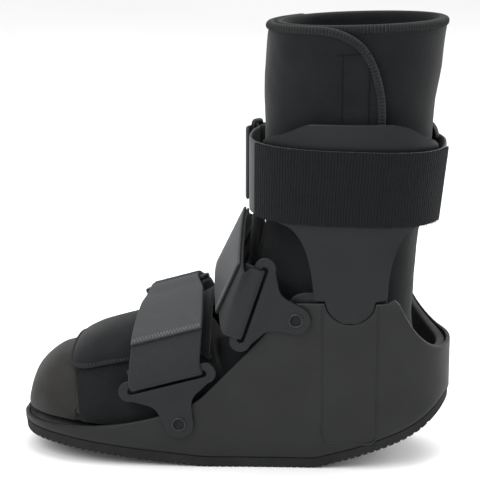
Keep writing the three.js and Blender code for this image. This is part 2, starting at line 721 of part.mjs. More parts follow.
// The oval on which an upright's wing lies, measured to its outside and moved out by an offset.
function wingOval(z, offset = 0) {
  const level = clamp(z, WING_BOTTOM - 12, WING_TOP + 6);
  const back = lerp(OVAL_BACK_LOW, OVAL_BACK_HIGH, (level - WING_BOTTOM) / (WING_TOP - WING_BOTTOM));
  const outward = FLAP_THICKNESS / 2 + PAD_SEAT + WING_GAP + UPRIGHT_WALL;
  return {
    centre: (OVAL_FRONT + back) / 2,
    depth: (back - OVAL_FRONT) / 2 + offset,
    half: legAt(level).half + outward + offset,
  };
}

function ovalHalf(oval, x) {
  const reach = clamp(Math.abs(x - oval.centre) / oval.depth, 0, 1);
  return oval.half * (1 - reach ** OVAL_POWER) ** (1 / OVAL_POWER);
}

// Outer half width of an upright at x and z: flush with the shell below, on its oval above.
function uprightHalf(x, z, offset = 0) {
  const up = smoothstep(z, SHELL_HEIGHT + 2, WING_BOTTOM + 4);
  return lerp(shellHalf(x, z) + offset, ovalHalf(wingOval(z, offset), x), up);
}

// A curved wall that stands on the uprights' surface, between two offsets from its outside.
function uprightWall(outer, inner) {
  const heights = [
    SHELL_HEIGHT - 2 * TAB_DEPTH,
    SHELL_HEIGHT - TAB_DEPTH,
    SHELL_HEIGHT,
    SHELL_HEIGHT + 4,
    ...rowSteps(SHELL_HEIGHT + 14, WING_BOTTOM + 4, 3),
    WING_TOP + 6,
  ];
  const steps = 12;
  const reach = WING_LENGTH / 2 + 2;
  const rings = heights.map((z) => {
    const curve = (offset) =>
      Array.from({ length: steps + 1 }, (_, i) => {
        const x = WING_CENTRE - reach * Math.cos((Math.PI * i) / steps);
        return new THREE.Vector3(x, -uprightHalf(x, z, offset), z);
      });
    return [...curve(outer), ...curve(inner).reverse()];
  });
  return loft(rings, strip);
}

function wingShape() {
  const front = WING_CENTRE - WING_LENGTH / 2;
  const rear = WING_CENTRE + WING_LENGTH / 2;
  const neck = NECK_WIDTH / 2;
  const seat = SHELL_HEIGHT + SEAM;
  const flat = WING_TOP_LENGTH / 2;
  const round = WING_ROUND;
  const flare = WING_FLARE;
  const dip = WING_TOP - WING_SHOULDER_DIP; // height of the curve's pull between the shoulder and the top
  const shape = new THREE.Shape();
  const neckSide = (side) => TAB_CENTRE + side * neck;
  const edge = (side) => (side < 0 ? front : rear);
  const lowEdge = (side) => edge(side) - side * WING_TAPER;
  shape.moveTo(neckSide(-1), seat);
  shape.lineTo(TAB_CENTRE + TAB_RADIUS, seat);
  shape.lineTo(neckSide(1), seat + SEAT_RISE);
  shape.bezierCurveTo(
    neckSide(1) + 1,
    lerp(seat, WING_BOTTOM, 0.5),
    neckSide(1) + flare / 3,
    lerp(seat, WING_BOTTOM, 0.9),
    neckSide(1) + flare,
    WING_BOTTOM,
  );
  shape.quadraticCurveTo(lowEdge(1), WING_BOTTOM + 1, lowEdge(1), WING_BOTTOM + round);
  shape.lineTo(edge(1), WING_SHOULDER - round);
  shape.quadraticCurveTo(edge(1), WING_SHOULDER, edge(1) - round, WING_SHOULDER + 2);
  const topRear = TAB_CENTRE + flat;
  const topFront = TAB_CENTRE - flat;
  shape.bezierCurveTo(topRear + 2.2 * round, dip, topRear + round, WING_TOP, topRear, WING_TOP);
  shape.lineTo(topFront, WING_TOP);
  shape.bezierCurveTo(topFront - round, WING_TOP, front + 2.5 * round, dip, front + round, WING_SHOULDER + 2);
  shape.quadraticCurveTo(edge(-1), WING_SHOULDER, edge(-1), WING_SHOULDER - round);
  shape.lineTo(lowEdge(-1), WING_BOTTOM + round);
  shape.quadraticCurveTo(lowEdge(-1), WING_BOTTOM + 1, neckSide(-1) - flare, WING_BOTTOM);
  shape.bezierCurveTo(
    neckSide(-1) - flare / 3,
    lerp(seat, WING_BOTTOM, 0.9),
    neckSide(-1) - 1,
    lerp(seat, WING_BOTTOM, 0.5),
    neckSide(-1),
    seat,
  );
  return shape;
}

function flangeShape() {
  const low = SHELL_HEIGHT - 1.6 * TAB_DEPTH;
  const high = SHELL_HEIGHT + FLANGE_RISE;
  const front = TAB_CENTRE - FLANGE_FRONT;
  const rear = TAB_CENTRE + FLANGE_REAR;
  const round = 12;
  const shape = new THREE.Shape();
  shape.moveTo(front + round, low);
  shape.lineTo(rear, low);
  shape.lineTo(rear, high);
  shape.lineTo(front + round, high);
  shape.quadraticCurveTo(front, high, front, high - round);
  shape.lineTo(front, low + round);
  shape.quadraticCurveTo(front, low, front + round, low);
  return shape;
}

function buildUprights() {
  const far = SOLE_WIDTH;
  const back = -SHELL_WALL - SEAM - FLANGE_WALL;
  const blade = uprightWall(0, -UPRIGHT_WALL).intersect(prism(wingShape(), -far, 0));
  const flange = uprightWall(-SHELL_WALL - SEAM, back).intersect(prism(flangeShape(), -far, 0));
  const tab = uprightWall(0, back).intersect(prism(tabShape(0, SHELL_HEIGHT + FLANGE_RISE), -far, 0));
  const left = blade.add(flange).add(tab);
  add("upright_left", left, moulded);
  add("upright_right", left.mirror([0, 1, 0]), moulded);
}

// Slotted plates and rivets

const slotHalf = STRAP_WIDTH / 2 + PLATE_SLOT_GAP;

// The plate drawn with its rivet at the origin and its slot above it, level.
function plateShape() {
  const half = slotHalf + PLATE_LOBE;
  const low = PLATE_REACH - PLATE_SLOT_WIDTH / 2 - PLATE_RAIL;
  const high = PLATE_REACH + PLATE_SLOT_WIDTH / 2 + PLATE_RAIL;
  const round = (high - low) / 2;
  const neck = PLATE_BOSS + 4;
  const web = low - PLATE_WEB;
  const shape = new THREE.Shape();
  shape.absarc(0, 0, PLATE_BOSS, Math.PI, 2 * Math.PI, false);
  shape.lineTo(neck, web);
  shape.lineTo(half - round, low);
  shape.absarc(half - round, (low + high) / 2, round, -Math.PI / 2, Math.PI / 2, false);
  shape.lineTo(round - half, high);
  shape.absarc(round - half, (low + high) / 2, round, Math.PI / 2, 1.5 * Math.PI, false);
  shape.lineTo(-neck, web);
  return shape;
}

function slotShape() {
  const round = PLATE_SLOT_WIDTH / 2;
  const reach = slotHalf - round;
  const shape = new THREE.Shape();
  shape.absarc(reach, PLATE_REACH, round, -Math.PI / 2, Math.PI / 2, false);
  shape.absarc(-reach, PLATE_REACH, round, Math.PI / 2, 1.5 * Math.PI, false);
  return shape;
}

// Places a shape from the plate's own drawing at its rivet, turned by the slot's tilt.
function placed(shape, strap, steps = 4) {
  const turn = degrees(strap.tilt);
  const spun = shape.getPoints(steps).map((p) => {
    const x = strap.rivet[0] + p.x * Math.cos(turn) - p.y * Math.sin(turn);
    return new THREE.Vector2(x, strap.rivet[1] + p.x * Math.sin(turn) + p.y * Math.cos(turn));
  });
  return new THREE.Shape(spun);
}

// Half width of the boot at the middle of a plate's thickness.
function plateHalf(strap, x) {
  const [rivetX, rivetZ] = strap.rivet;
  const outward = SEAM + PLATE_SWELL + PLATE_THICKNESS / 2;
  const slope = (shellHalf(rivetX + 5, rivetZ) - shellHalf(rivetX - 5, rivetZ)) / 10;
  return shellHalf(rivetX, rivetZ) + slope * (x - rivetX) + outward;
}

function buildPlate(name, strap) {
  const [rivetX, rivetZ] = strap.rivet;
  const reach = PLATE_REACH + slotHalf + PLATE_LOBE;
  const rings = [rivetZ - reach, rivetZ + reach].map((z) => {
    const corner = (x, side) => {
      const y = plateHalf(strap, x) + (side * PLATE_THICKNESS) / 2;
      return new THREE.Vector3(x, -y, z);
    };
    const ends = [rivetX - reach, rivetX + reach];
    return [corner(ends[0], 1), corner(ends[1], 1), corner(ends[1], -1), corner(ends[0], -1)];
  });
  const hole = roundPin(strap, RIVET_SHANK_RADIUS + SEAM, SOLE_WIDTH, 0);
  const left = loft(rings)
    .intersect(prism(placed(plateShape(), strap), -SOLE_WIDTH, 0))
    .subtract(prism(placed(slotShape(), strap), -SOLE_WIDTH, 0))
    .subtract(hole);
  add(`${name}_plate_left`, left, moulded);
  add(`${name}_plate_right`, left.mirror([0, 1, 0]), moulded);
}

// A round pin along y at a strap's rivet, from one half width to another on the near side.
function roundPin(strap, radius, outer, inner, sides = 10) {
  const geometry = new THREE.CylinderGeometry(radius, radius, outer - inner, sides);
  geometry.translate(strap.rivet[0], -(outer + inner) / 2, strap.rivet[1]);
  return fromGeometry(geometry);
}

function rivetSeat(strap) {
  const [x, z] = strap.rivet;
  return plateHalf(strap, x) + PLATE_THICKNESS / 2;
}

function buildRivet(name, strap) {
  const [x, z] = strap.rivet;
  const seat = rivetSeat(strap) + SEAM;
  const head = roundPin(strap, RIVET_HEAD_RADIUS, seat + RIVET_HEAD_HEIGHT, seat);
  const shank = roundPin(strap, RIVET_SHANK_RADIUS, seat + 0.1, shellHalf(x, z) - SHELL_WALL + 0.2);
  const dish = seat + RIVET_HEAD_HEIGHT / 2;
  const recess = roundPin(strap, RIVET_SHANK_RADIUS, seat + 2 * RIVET_HEAD_HEIGHT, dish);
  const left = head.add(shank).subtract(recess);
  add(`${name}_rivet_left`, left, metal);
  add(`${name}_rivet_right`, left.mirror([0, 1, 0]), metal);
}

// Straps and rings

// A strap's solid from its path: points with the direction across it, its normal and its half width.
function ribbon(path) {
  const rings = path.map(({ centre, across, normal, half }) => {
    const corner = (side, face) =>
      centre
        .clone()
        .addScaledVector(across, side * half)
        .addScaledVector(normal, (face * STRAP_THICKNESS) / 2);
    return [corner(-1, -1), corner(1, -1), corner(1, 1), corner(-1, 1)];
  });
  return loft(rings);
}

// Radii of a strap's middle round a ring's bar and round a plate's rail, and half the step between layers.
const ringWrap = (RING_BAR / 2) * Math.SQRT2 + SEAM + STRAP_THICKNESS / 2;
const railWrap = (PLATE_THICKNESS / 2) * Math.SQRT2 + SEAM + STRAP_THICKNESS / 2;
const layerStep = (STRAP_THICKNESS + STRAP_GAP) / 2;
const SETTLE = 16; // length over which two layers close up beside a bar

const barReach = (RING_OPENING + RING_BAR) / 2; // from the middle of a ring to the middle of its bar

// Half a turn round a bar or rail, from one side of it to the other.
function wrap(frame, centre, from, through, radius, turns = 5) {
  return Array.from({ length: turns + 1 }, (_, i) => {
    const angle = (Math.PI * i) / turns;
    const out = from.clone().multiplyScalar(Math.cos(angle)).addScaledVector(through, Math.sin(angle));
    const middle = centre.clone().addScaledVector(out, radius);
    return { centre: middle, across: frame.across, normal: out, half: frame.half };
  });
}

// Half a turn round the bar that lies on one side of a ring: from under it, through the ring and over it.
function roundBar(ring, side) {
  const bar = ring.centre.clone().addScaledVector(ring.along, -side * barReach);
  return wrap(ring, bar, ring.normal.clone().negate(), ring.along.clone().multiplyScalar(side), ringWrap);
}

// A point on the middle of a plate's thickness: along its slot from the middle, and up from its rivet.
function platePoint(strap, along, up) {
  const turn = degrees(strap.tilt);
  const x = strap.rivet[0] + along * Math.cos(turn) - up * Math.sin(turn);
  const z = strap.rivet[1] + along * Math.sin(turn) + up * Math.cos(turn);
  return new THREE.Vector3(x, -plateHalf(strap, x), z);
}

const railFoot = PLATE_REACH + PLATE_SLOT_WIDTH / 2 + PLATE_THICKNESS / 2;
const railTop = PLATE_REACH + PLATE_SLOT_WIDTH / 2 + PLATE_RAIL;

// The near plate's rail: its foot and top, with the directions up it, across the strap and outward.
function railFrame(strap) {
  const foot = platePoint(strap, 0, railFoot);
  const top = platePoint(strap, 0, railTop);
  const up = top.clone().sub(foot).normalize();
  const across = platePoint(strap, 1, railTop).sub(platePoint(strap, -1, railTop)).normalize();
  const out = new THREE.Vector3().crossVectors(across, up).normalize();
  if (out.y > 0) out.negate();
  return { foot, top, up, across, out };
}

// The arch of a foot strap over the foot, between its layers, from the near rail at 0 to the far one at 1.
function strapArch(strap) {
  const rail = railFrame(strap);
  const start = rail.top.clone().addScaledVector(rail.out, railWrap + layerStep);
  const crestTurn = degrees(strap.crestTilt);
  const crestAcross = new THREE.Vector3(Math.cos(crestTurn), 0, Math.sin(crestTurn));
  const hub = new THREE.Vector3(strap.rivet[0], 0, strap.rivet[1]);
  const at = (t) => {
    const angle = Math.PI * t;
    const over = Math.sin(angle);
    const across = rail.across.clone();
    across.y *= Math.sign(0.5 - t);
    across.lerp(crestAcross, Math.abs(over) ** strap.bend);
    across.y -= strap.lean * Math.sin(2 * angle);
    across.normalize();
    const centre = new THREE.Vector3(
      lerp(start.x, strap.crest[0], signedPower(over, strap.slide)),
      start.y * signedPower(Math.cos(angle), strap.bend),
      lerp(start.z, strap.crest[1], signedPower(over, strap.climb)),
    );
    const wide = smoothstep(Math.abs(t - strap.ring), 0, 0.36);
    return { centre, across, half: lerp(PINCHED_WIDTH, STRAP_WIDTH, wide) / 2 };
  };
  return (t) => {
    const here = at(t);
    const step = 0.01;
    const along = at(t + step).centre.sub(at(t - step).centre);
    const speed = along.length() / (2 * step);
    along.normalize();
    const normal = new THREE.Vector3().crossVectors(here.across, along).normalize();
    if (normal.dot(here.centre.clone().sub(hub)) < 0) normal.negate();
    return { ...here, along, normal, speed };
  };
}

const flip = (path) => path.map((p) => ({ ...p, normal: p.normal.clone().negate() }));
const offsetBy = (frame, distance, turned = 1) => ({
  centre: frame.centre.clone().addScaledVector(frame.normal, distance),
  across: frame.across,
  normal: frame.normal.clone().multiplyScalar(turned),
  half: frame.half,
});

// A foot strap from its plate's rail to its ring's bar: hooked round the rail, up and over, round the bar
// and back over itself for a share of the way. Side is 1 from the near plate and -1 from the far plate.
function strapPath(strap, side, tail) {
  const arch = strapArch(strap);
  const ring = arch(strap.ring);
  const start = side > 0 ? 0 : 1;
  const end = strap.ring - (side * barReach) / ring.speed;
  const layer = (t, face) => {
    const frame = arch(t);
    const away = Math.abs(t - end) * ring.speed;
    return offsetBy(frame, face * lerp(ringWrap, layerStep, smoothstep(away, RING_BAR, SETTLE)), -face);
  };
  const steps = Math.round(lerp(4, 22, Math.abs(end - start)));
  const mirror = new THREE.Vector3(1, side, 1);
  const rail = railFrame(strap);
  const ways = [rail.foot, rail.up, rail.across, rail.out];
  const [foot, up, across, out] = ways.map((v) => v.clone().multiply(mirror));
  const half = STRAP_WIDTH / 2;
  const hook = wrap({ across, half }, foot, out.clone().negate(), up.clone().negate(), railWrap);
  const hookEnd = { ...hook[0], centre: hook[0].centre.clone().addScaledVector(up, HOOK_TAIL) };
  const beside = end - (side * RING_BAR) / ring.speed;
  const base = [...rowSteps(start, beside, steps), end].map((t) => layer(t, -1));
  const backSteps = Math.max(3, Math.round(steps * tail) - 1);
  const back = [end, ...rowSteps(beside, lerp(end, start, tail), backSteps)].map((t) => layer(t, 1));
  return [hookEnd, ...hook, ...base.slice(0, -1), ...flip(roundBar(ring, side)), ...back.slice(1)];
}

// A rectangular ring in a frame, as long as its strap is wide there.
function ringSolid(frame) {
  const half = frame.half + RING_SIDE_GAP;
  const outline = (grow, round) => {
    const [w, h] = [half + grow, RING_OPENING / 2 + grow];
    const shape = new THREE.Shape();
    shape.absarc(w - round, h - round, round, 0, Math.PI / 2, false);
    shape.absarc(round - w, h - round, round, Math.PI / 2, Math.PI, false);
    shape.absarc(round - w, round - h, round, Math.PI, 1.5 * Math.PI, false);
    shape.absarc(w - round, round - h, round, 1.5 * Math.PI, 2 * Math.PI, false);
    return shape;
  };
  const shape = outline(RING_BAR, 4);
  shape.holes.push(outline(0, 1));
  const settings = { depth: RING_BAR, bevelEnabled: false, curveSegments: 3 };
  const geometry = new THREE.ExtrudeGeometry(shape, settings);
  geometry.translate(0, 0, -RING_BAR / 2);
  const along = new THREE.Vector3().crossVectors(frame.normal, frame.across);
  const basis = new THREE.Matrix4().makeBasis(frame.across, along, frame.normal);
  geometry.applyMatrix4(basis.setPosition(frame.centre));
  return fromGeometry(geometry);
}

// The calf strap's frame at an angle round the leg from its front, towards the near side, at a distance
// outside the wings.
function calfFrame(angle, distance) {
  const at = (turn) => {
    const point = (side) => {
      const drop = CALF_STRAP_SLOPE * (Math.cos(turn) * WING_LENGTH) / 2;
      const z = CALF_STRAP_CENTRE + (side * STRAP_WIDTH) / 2 + drop;
      const oval = wingOval(z, distance);
      const power = 2 / OVAL_POWER;
      return new THREE.Vector3(
        oval.centre - oval.depth * signedPower(Math.cos(turn), power),
        -oval.half * signedPower(Math.sin(turn), power),
        z,
      );
    };
    const [low, high] = [point(-1), point(1)];
    return { centre: low.clone().add(high).multiplyScalar(0.5), across: high.sub(low).normalize() };
  };
  const here = at(angle);
  const step = 0.02;
  const along = at(angle + step).centre.sub(at(angle - step).centre);
  const speed = along.length() / (2 * step);
  along.normalize();
  const normal = new THREE.Vector3().crossVectors(here.across, along).normalize();
  if (normal.dot(here.centre.clone().setX(here.centre.x - WING_CENTRE).setZ(0)) < 0) normal.negate();
  return { ...here, along, normal, speed, half: STRAP_WIDTH / 2 };
}

const calfSeat = STRAP_SEAT + STRAP_THICKNESS / 2;

function buildCalfStrap() {
  const ringAngle = degrees(CALF_RING_ANGLE);
  const ring = calfFrame(ringAngle, calfSeat + ringWrap);
  const reach = barReach / ring.speed;
  const first = ringAngle + reach;
  const last = ringAngle + 2 * Math.PI - reach;
  const under = (angle) => offsetBy(calfFrame(angle, calfSeat), 0);
  const over = (angle) => {
    const away = Math.min(angle - first, last - angle) * ring.speed;
    const above = 2 * lerp(ringWrap, layerStep, smoothstep(away, RING_BAR, SETTLE));
    return offsetBy(calfFrame(angle, calfSeat + above), 0, -1);
  };
  const beside = RING_BAR / ring.speed; // a strap stays level beside the bar that it wraps
  const sewn = [...rowSteps(first + HOOK_TAIL / ring.speed, first + beside, 2), first].map(over);
  const base = [first, ...rowSteps(first + beside, last - beside, 44), last].map(under);
  const free = [last, ...rowSteps(last - beside, last - degrees(CALF_TAIL_ANGLE), 11)].map(over);
  const path = [
    ...sewn.slice(0, -1),
    ...flip(roundBar(ring, -1).reverse()),
    ...base.slice(1, -1),
    ...flip(roundBar(ring, 1)),
    ...free.slice(1),
  ];
  add("calf_strap", ribbon(path), webbing);
  add("calf_ring", ringSolid(ring), moulded);
  const band = rowSteps(degrees(CALF_BAND_FRONT), degrees(CALF_BAND_BACK), 18);
  const bandSeat = calfSeat + STRAP_THICKNESS + STRAP_GAP;
  add("calf_band", ribbon(band.map((a) => offsetBy(calfFrame(a, bandSeat), 0))), pile);
}

buildShell();
buildOutsole();
buildFootbed();
buildHeelPad();
buildLiner();
buildFlaps();
buildUprights();
for (const [name, strap] of [["forefoot", FOREFOOT], ["instep", INSTEP]]) {
  buildPlate(name, strap);
  buildRivet(name, strap);
  add(`${name}_strap`, ribbon(strapPath(strap, 1, strap.tail)), webbing);
  add(`${name}_anchor`, ribbon(strapPath(strap, -1, 0.5)), webbing);
  add(`${name}_ring`, ringSolid(strapArch(strap)(strap.ring)), moulded);
}
buildCalfStrap();

export default boot;
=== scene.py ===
"""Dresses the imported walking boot: soft liner, webbing straps, moulded shell and rubber sole."""

from __future__ import annotations

import logging
import random
from dataclasses import dataclass, field
from enum import Enum
from functools import cached_property
from math import acos, comb, copysign, cos, hypot, pi, radians, sin, sqrt, tau
from typing import Callable, Iterable, Sequence

import bmesh
import bpy
from bpy.types import ID, Material, Mesh, Node, NodeSocket, Object
from mathutils import Matrix, Vector, noise


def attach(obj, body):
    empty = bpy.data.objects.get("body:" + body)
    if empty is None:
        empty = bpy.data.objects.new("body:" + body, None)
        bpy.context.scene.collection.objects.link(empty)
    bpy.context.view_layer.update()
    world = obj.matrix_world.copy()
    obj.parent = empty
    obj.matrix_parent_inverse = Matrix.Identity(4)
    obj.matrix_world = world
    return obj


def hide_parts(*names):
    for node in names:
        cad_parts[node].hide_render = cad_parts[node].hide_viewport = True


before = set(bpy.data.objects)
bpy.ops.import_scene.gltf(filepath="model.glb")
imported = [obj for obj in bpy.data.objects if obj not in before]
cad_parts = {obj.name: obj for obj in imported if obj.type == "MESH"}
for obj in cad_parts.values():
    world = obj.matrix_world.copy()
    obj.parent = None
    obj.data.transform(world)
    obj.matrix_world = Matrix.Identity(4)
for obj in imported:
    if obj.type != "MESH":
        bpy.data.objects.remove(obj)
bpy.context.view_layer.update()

log = logging.getLogger("walking_boot")

MM = 0.001  # every size below is in millimetres
ROOT = "root"
Pair = tuple[float, float]


def lerp(a: float, b: float, t: float) -> float:
    """Blends two numbers."""
    return a + (b - a) * t


def clamp(value: float, low: float, high: float) -> float:
    """Keeps a number between two limits."""
    return max(low, min(high, value))


def smoothstep(value: float, low: float, high: float) -> float:
    """Eases from 0 at the low limit to 1 at the high one."""
    t = clamp((value - low) / (high - low), 0, 1)
    return t * t * (3 - 2 * t)


def signed_power(value: float, power: float) -> float:
    """Raises a number's size to a power and keeps its sign."""
    return copysign(abs(value) ** power, value)


def steps(low: float, high: float, count: int) -> list[float]:
    """Evenly spaced numbers, both ends included."""
    return [lerp(low, high, i / count) for i in range(count + 1)]


def quarter(t: float) -> float:
    """Height of a quarter round at a share of its width, from 0 at its edge to 1."""
    return sqrt(1 - (1 - t) ** 2)


def bisect(low: float, high: float, below: Callable[[float], bool], rounds: int) -> float:
    """Closes in on the place where a test turns false.

    Args:
        low: a place where the test is true.
        high: a place where it is false.
        below: the test.
        rounds: number of halvings.
    Returns:
        The last place that was tried.
    """
    middle = low
    for _ in range(rounds):
        middle = (low + high) / 2
        if below(middle):
            low = middle
        else:
            high = middle
    return middle


def linked(name: str, data: ID) -> Object:
    """A new object of the scene with the given data."""
    made = bpy.data.objects.new(name, data)
    bpy.context.scene.collection.objects.link(made)
    return made


class Side(Enum):
    """A side of the boot: the near one of the photograph, towards -Y, and the far one."""

    NEAR = 1
    FAR = -1

    @property
    def label(self) -> str:
        """The side's name in the CAD nodes."""
        return "left" if self is Side.NEAR else "right"


class Table:
    """Named columns that are read between their rows with a curve that never overshoots."""

    def __init__(self, columns: str, rows: Sequence[Sequence[float]]) -> None:
        """Args: columns: names parted by spaces, the first being the place. rows: one sequence each."""
        self.columns = {name: [row[i] for row in rows] for i, name in enumerate(columns.split())}

    def read(self, column: str, at: float) -> float:
        """Reads one column.

        Args:
            column: the column's name.
            at: the place along the table.
        Returns:
            The column's value there.
        """
        places, values = self.columns["at"], self.columns[column]
        last = len(places) - 1
        if at <= places[0]:
            return values[0]
        if at >= places[last]:
            return values[last]
        i = 0
        while places[i + 1] < at:
            i += 1

        def slope(k: int) -> float:
            """Slope of one stretch."""
            return (values[k + 1] - values[k]) / (places[k + 1] - places[k])

        def tangent(k: int) -> float:
            """Slope of the curve at one row."""
            if k == 0:
                return slope(0)
            if k == last:
                return slope(last - 1)
            before, after = slope(k - 1), slope(k)
            return 0.0 if before * after <= 0 else 2 * before * after / (before + after)

        h = places[i + 1] - places[i]
        t = (at - places[i]) / h
        return (
            (1 + 2 * t) * (1 - t) ** 2 * values[i]
            + t * (1 - t) ** 2 * h * tangent(i)
            + t * t * (3 - 2 * t) * values[i + 1]
            + t * t * (t - 1) * h * tangent(i + 1)
        )


@dataclass(frozen=True)
class FootStrap:
    """A foot strap's place: rivet, slot tilt, crest over the foot, and its ring and free end along it."""

    name: str
    rivet: Pair
    tilt: float
    crest: Pair
    crest_tilt: float
    bend: float
    slide: float
    climb: float
    lean: float
    ring: float
    tail: float
    pinch: float


FOREFOOT = FootStrap(
    "forefoot", rivet=(-33, 32), tilt=15, crest=(-41, 116.5), crest_tilt=16, bend=1.1, slide=1.1, climb=1.1,
    lean=0, ring=0.54, tail=0.66, pinch=3.2,
)
INSTEP = FootStrap(
    "instep", rivet=(46, 107), tilt=71.5, crest=(-1.6, 152.4), crest_tilt=64, bend=0.85, slide=0.5, climb=4,
    lean=0.5, ring=0.66, tail=0.64, pinch=3,
)


@dataclass(frozen=True)
class Frame:
    """A place on a strap: its middle, the way across it, its normal, its half width and the way along it."""

    centre: Vector
    across: Vector
    normal: Vector
    half: float
    along: Vector = field(default_factory=Vector)
    speed: float = 1.0

    def moved(self, distance: float, turned: int = 1) -> Frame:
        """The frame moved along its normal, with the normal kept (1) or turned over (-1)."""
        centre = self.centre + self.normal * distance
        return Frame(centre, self.across, self.normal * turned, self.half, self.along, self.speed)

    def flipped(self) -> Frame:
        """The frame with its normal turned over."""
        return self.moved(0, -1)


def frame_on(
    at: Callable[[float], tuple[Vector, Vector]], t: float, step: float, half: float, core: Vector
) -> Frame:
    """A strap's frame on a curve.

    Args:
        at: gives the middle and the way across for a place on the curve.
        t: the place.
        step: half of the short stretch from which the way along comes.
        half: the strap's half width there.
        core: a point inside the boot, from which the normal leads away.
    Returns:
        The frame.
    """
    centre, across = at(t)
    along = at(t + step)[0] - at(t - step)[0]
    speed = along.length / (2 * step)
    along.normalize()
    normal = across.cross(along).normalized()
    if normal.dot(centre - core) < 0:
        normal.negate()
    return Frame(centre, across, normal, half, along, speed)


@dataclass(frozen=True)
class Liner:
    """One section of the liner."""

    dorsal: Vector
    plantar: Vector
    half: float
    crown: float
    flat: float
    shift: float


@dataclass(frozen=True)
class BootForm:
    """The boot's sizes and the surfaces that its pieces share, in millimetres."""

    length: float = 298
    height: float = 300
    cuff_rise: float = 4
    sole_width: float = 102
    shell_height: float = 120
    instep_height: float = 86
    calf_depth: float = 124
    calf_width: float = 98
    leg_centre: float = 80
    shell_wall: float = 3
    shell_floor: float = 2.6
    cavity_level: float = 12
    outsole: float = 4.2
    outsole_inset: float = 0.9
    footbed: float = 4
    heel_pad: float = 7
    heel_pad_reach: float = 34
    heel_pad_drop: float = 2.5
    liner_wall: float = 5.5
    flap: float = 5
    seam: float = 0.35
    liner_clearance: float = 1
    pad_seat: float = 0.8
    toe_cap: float = 44
    upright_wall: float = 3
    flange_wall: float = 2.5
    tab_radius: float = 17
    tab_depth: float = 15.5
    tab_centre: float = 82
    neck_width: float = 49
    seat_rise: float = 2
    wing_length: float = 118
    wing_centre: float = 79.5
    wing_taper: float = 9
    wing_bottom: float = 171
    wing_shoulder: float = 228
    wing_top: float = 240
    wing_top_length: float = 50
    oval_front: float = 13
    oval_back_low: float = 135.5
    oval_back_high: float = 143
    oval_power: float = 2.7
    wing_gap: float = 2
    strap_width: float = 50
    strap: float = 1.8
    strap_gap: float = 0.5
    strap_seat: float = 0.8
    pinched: float = 40
    widen_reach: float = 0.36
    pinch_reach: Pair = (0.06, 0.17)
    hook_tail: float = 10
    calf_height: float = 198
    calf_slope: float = 0.033
    ring_bar: float = 3.4
    ring_opening: float = 7
    plate: float = 2.6
    plate_slot: float = 4.6
    slot_gap: float = 2.5
    plate_rail: float = 5
    plate_web: float = 8
    plate_lobe: float = 6.5
    plate_boss: float = 10
    plate_reach: float = 30.5
    plate_swell: float = 0.5
    toe_round: float = 60
    heel_round: float = 42
    round_power: float = 2.3
    sole_corner: float = 6.5
    toe_spring: float = 15.5
    heel_bevel: float = 46
    settle: float = 16

    rockers: Table = Table(
        "at toe heel",
        [
            (0, 1, 0), (0.03, 0.87, 0), (0.1, 0.76, 0), (0.2, 0.54, 0),
            (0.315, 0.28, 0), (0.4, 0.1, 0), (0.46, 0, 0), (0.68, 0, 0),
            (0.755, 0, 0.11), (0.822, 0, 0.26), (0.889, 0, 0.45), (0.936, 0, 0.62),
            (0.97, 0, 0.8), (1, 0, 1),
        ],
    )
    rims: Table = Table(
        "at rise",
        [
            (0, 0.21), (0.104, 0.218), (0.178, 0.228), (0.252, 0.25), (0.339, 0.3),
            (0.426, 0.392), (0.472, 0.5), (0.529, 0.647), (0.577, 0.783), (0.614, 0.892),
            (0.644, 0.975), (0.668, 0.985), (0.8, 0.99), (0.855, 0.992), (0.87, 1.02),
            (0.879, 1.01), (0.897, 0.925), (0.92, 0.828), (0.954, 0.74), (0.977, 0.71),
            (1, 0.705),
        ],
    )
    plans: Table = Table(
        "at foot top",
        [
            (0, 0.9, 0.94), (0.12, 0.95, 0.99), (0.25, 1.0, 1.04), (0.4, 0.955, 1.0),
            (0.55, 0.88, 0.96), (0.7, 0.83, 0.97), (0.85, 0.82, 0.96), (1, 0.82, 0.93),
        ],
    )
    # top, rise, sole, half, crown, flat
    foot_rows: tuple[tuple[float, ...], ...] = (
        (0.01, 0.206, 0.012, 0.5, 2, 2.4),
        (0.015, 0.336, 0.02, 0.78, 2, 2.9),
        (0.031, 0.55, 0.038, 0.93, 2, 3.3),
        (0.055, 0.683, 0.068, 0.965, 2.1, 3.6),
        (0.086, 0.775, 0.1, 0.98, 2.2, 3.9),
        (0.13, 0.83, 0.145, 0.985, 2.2, 4),
        (0.19, 0.96, 0.205, 0.98, 2.2, 4),
        (0.275, 1.072, 0.295, 0.96, 2.2, 4),
        (0.36, 1.15, 0.385, 0.95, 2.2, 4),
        (0.42, 1.17, 0.465, 0.94, 2.2, 3.8),
        (0.444, 1.02, 0.53, 0.93, 2.2, 3.6),
        (0.462, 0.87, 0.59, 0.92, 2.2, 3.4),
    )
    # front, climb, back, lift, half
    ankle_rows: tuple[tuple[float, ...], ...] = (
        (0.487, 0.014, 0.66, 0, 0.9),
        (0.503, 0.084, 0.75, 0, 0.88),
        (0.516, 0.13, 0.83, 0, 0.85),
        (0.526, 0.168, 0.89, 0.12, 0.82),
        (0.536, 0.205, 0.926, 0.4, 0.8),
        (0.546, 0.243, 0.922, 0.78, 0.8),
    )
    # front, climb, back, back climb, half
    leg_rows: tuple[tuple[float, ...], ...] = (
        (-0.515, 0.279, 0.345, 0.055, 0.84),
        (-0.487, 0.341, 0.352, 0.168, 0.88),
        (-0.462, 0.411, 0.368, 0.301, 0.93),
        (-0.44, 0.4925, 0.395, 0.433, 0.96),
        (-0.436, 0.606, 0.42, 0.584, 0.985),
        (-0.44, 0.804, 0.465, 0.811, 1.0),
        (-0.424, 1.0, 0.505, 1.0, 0.985),
    )

    @property
    def toe(self) -> float:
        """The toe end's x."""
        return -self.length / 2

    @property
    def heel(self) -> float:
        """The heel end's x."""
        return self.length / 2

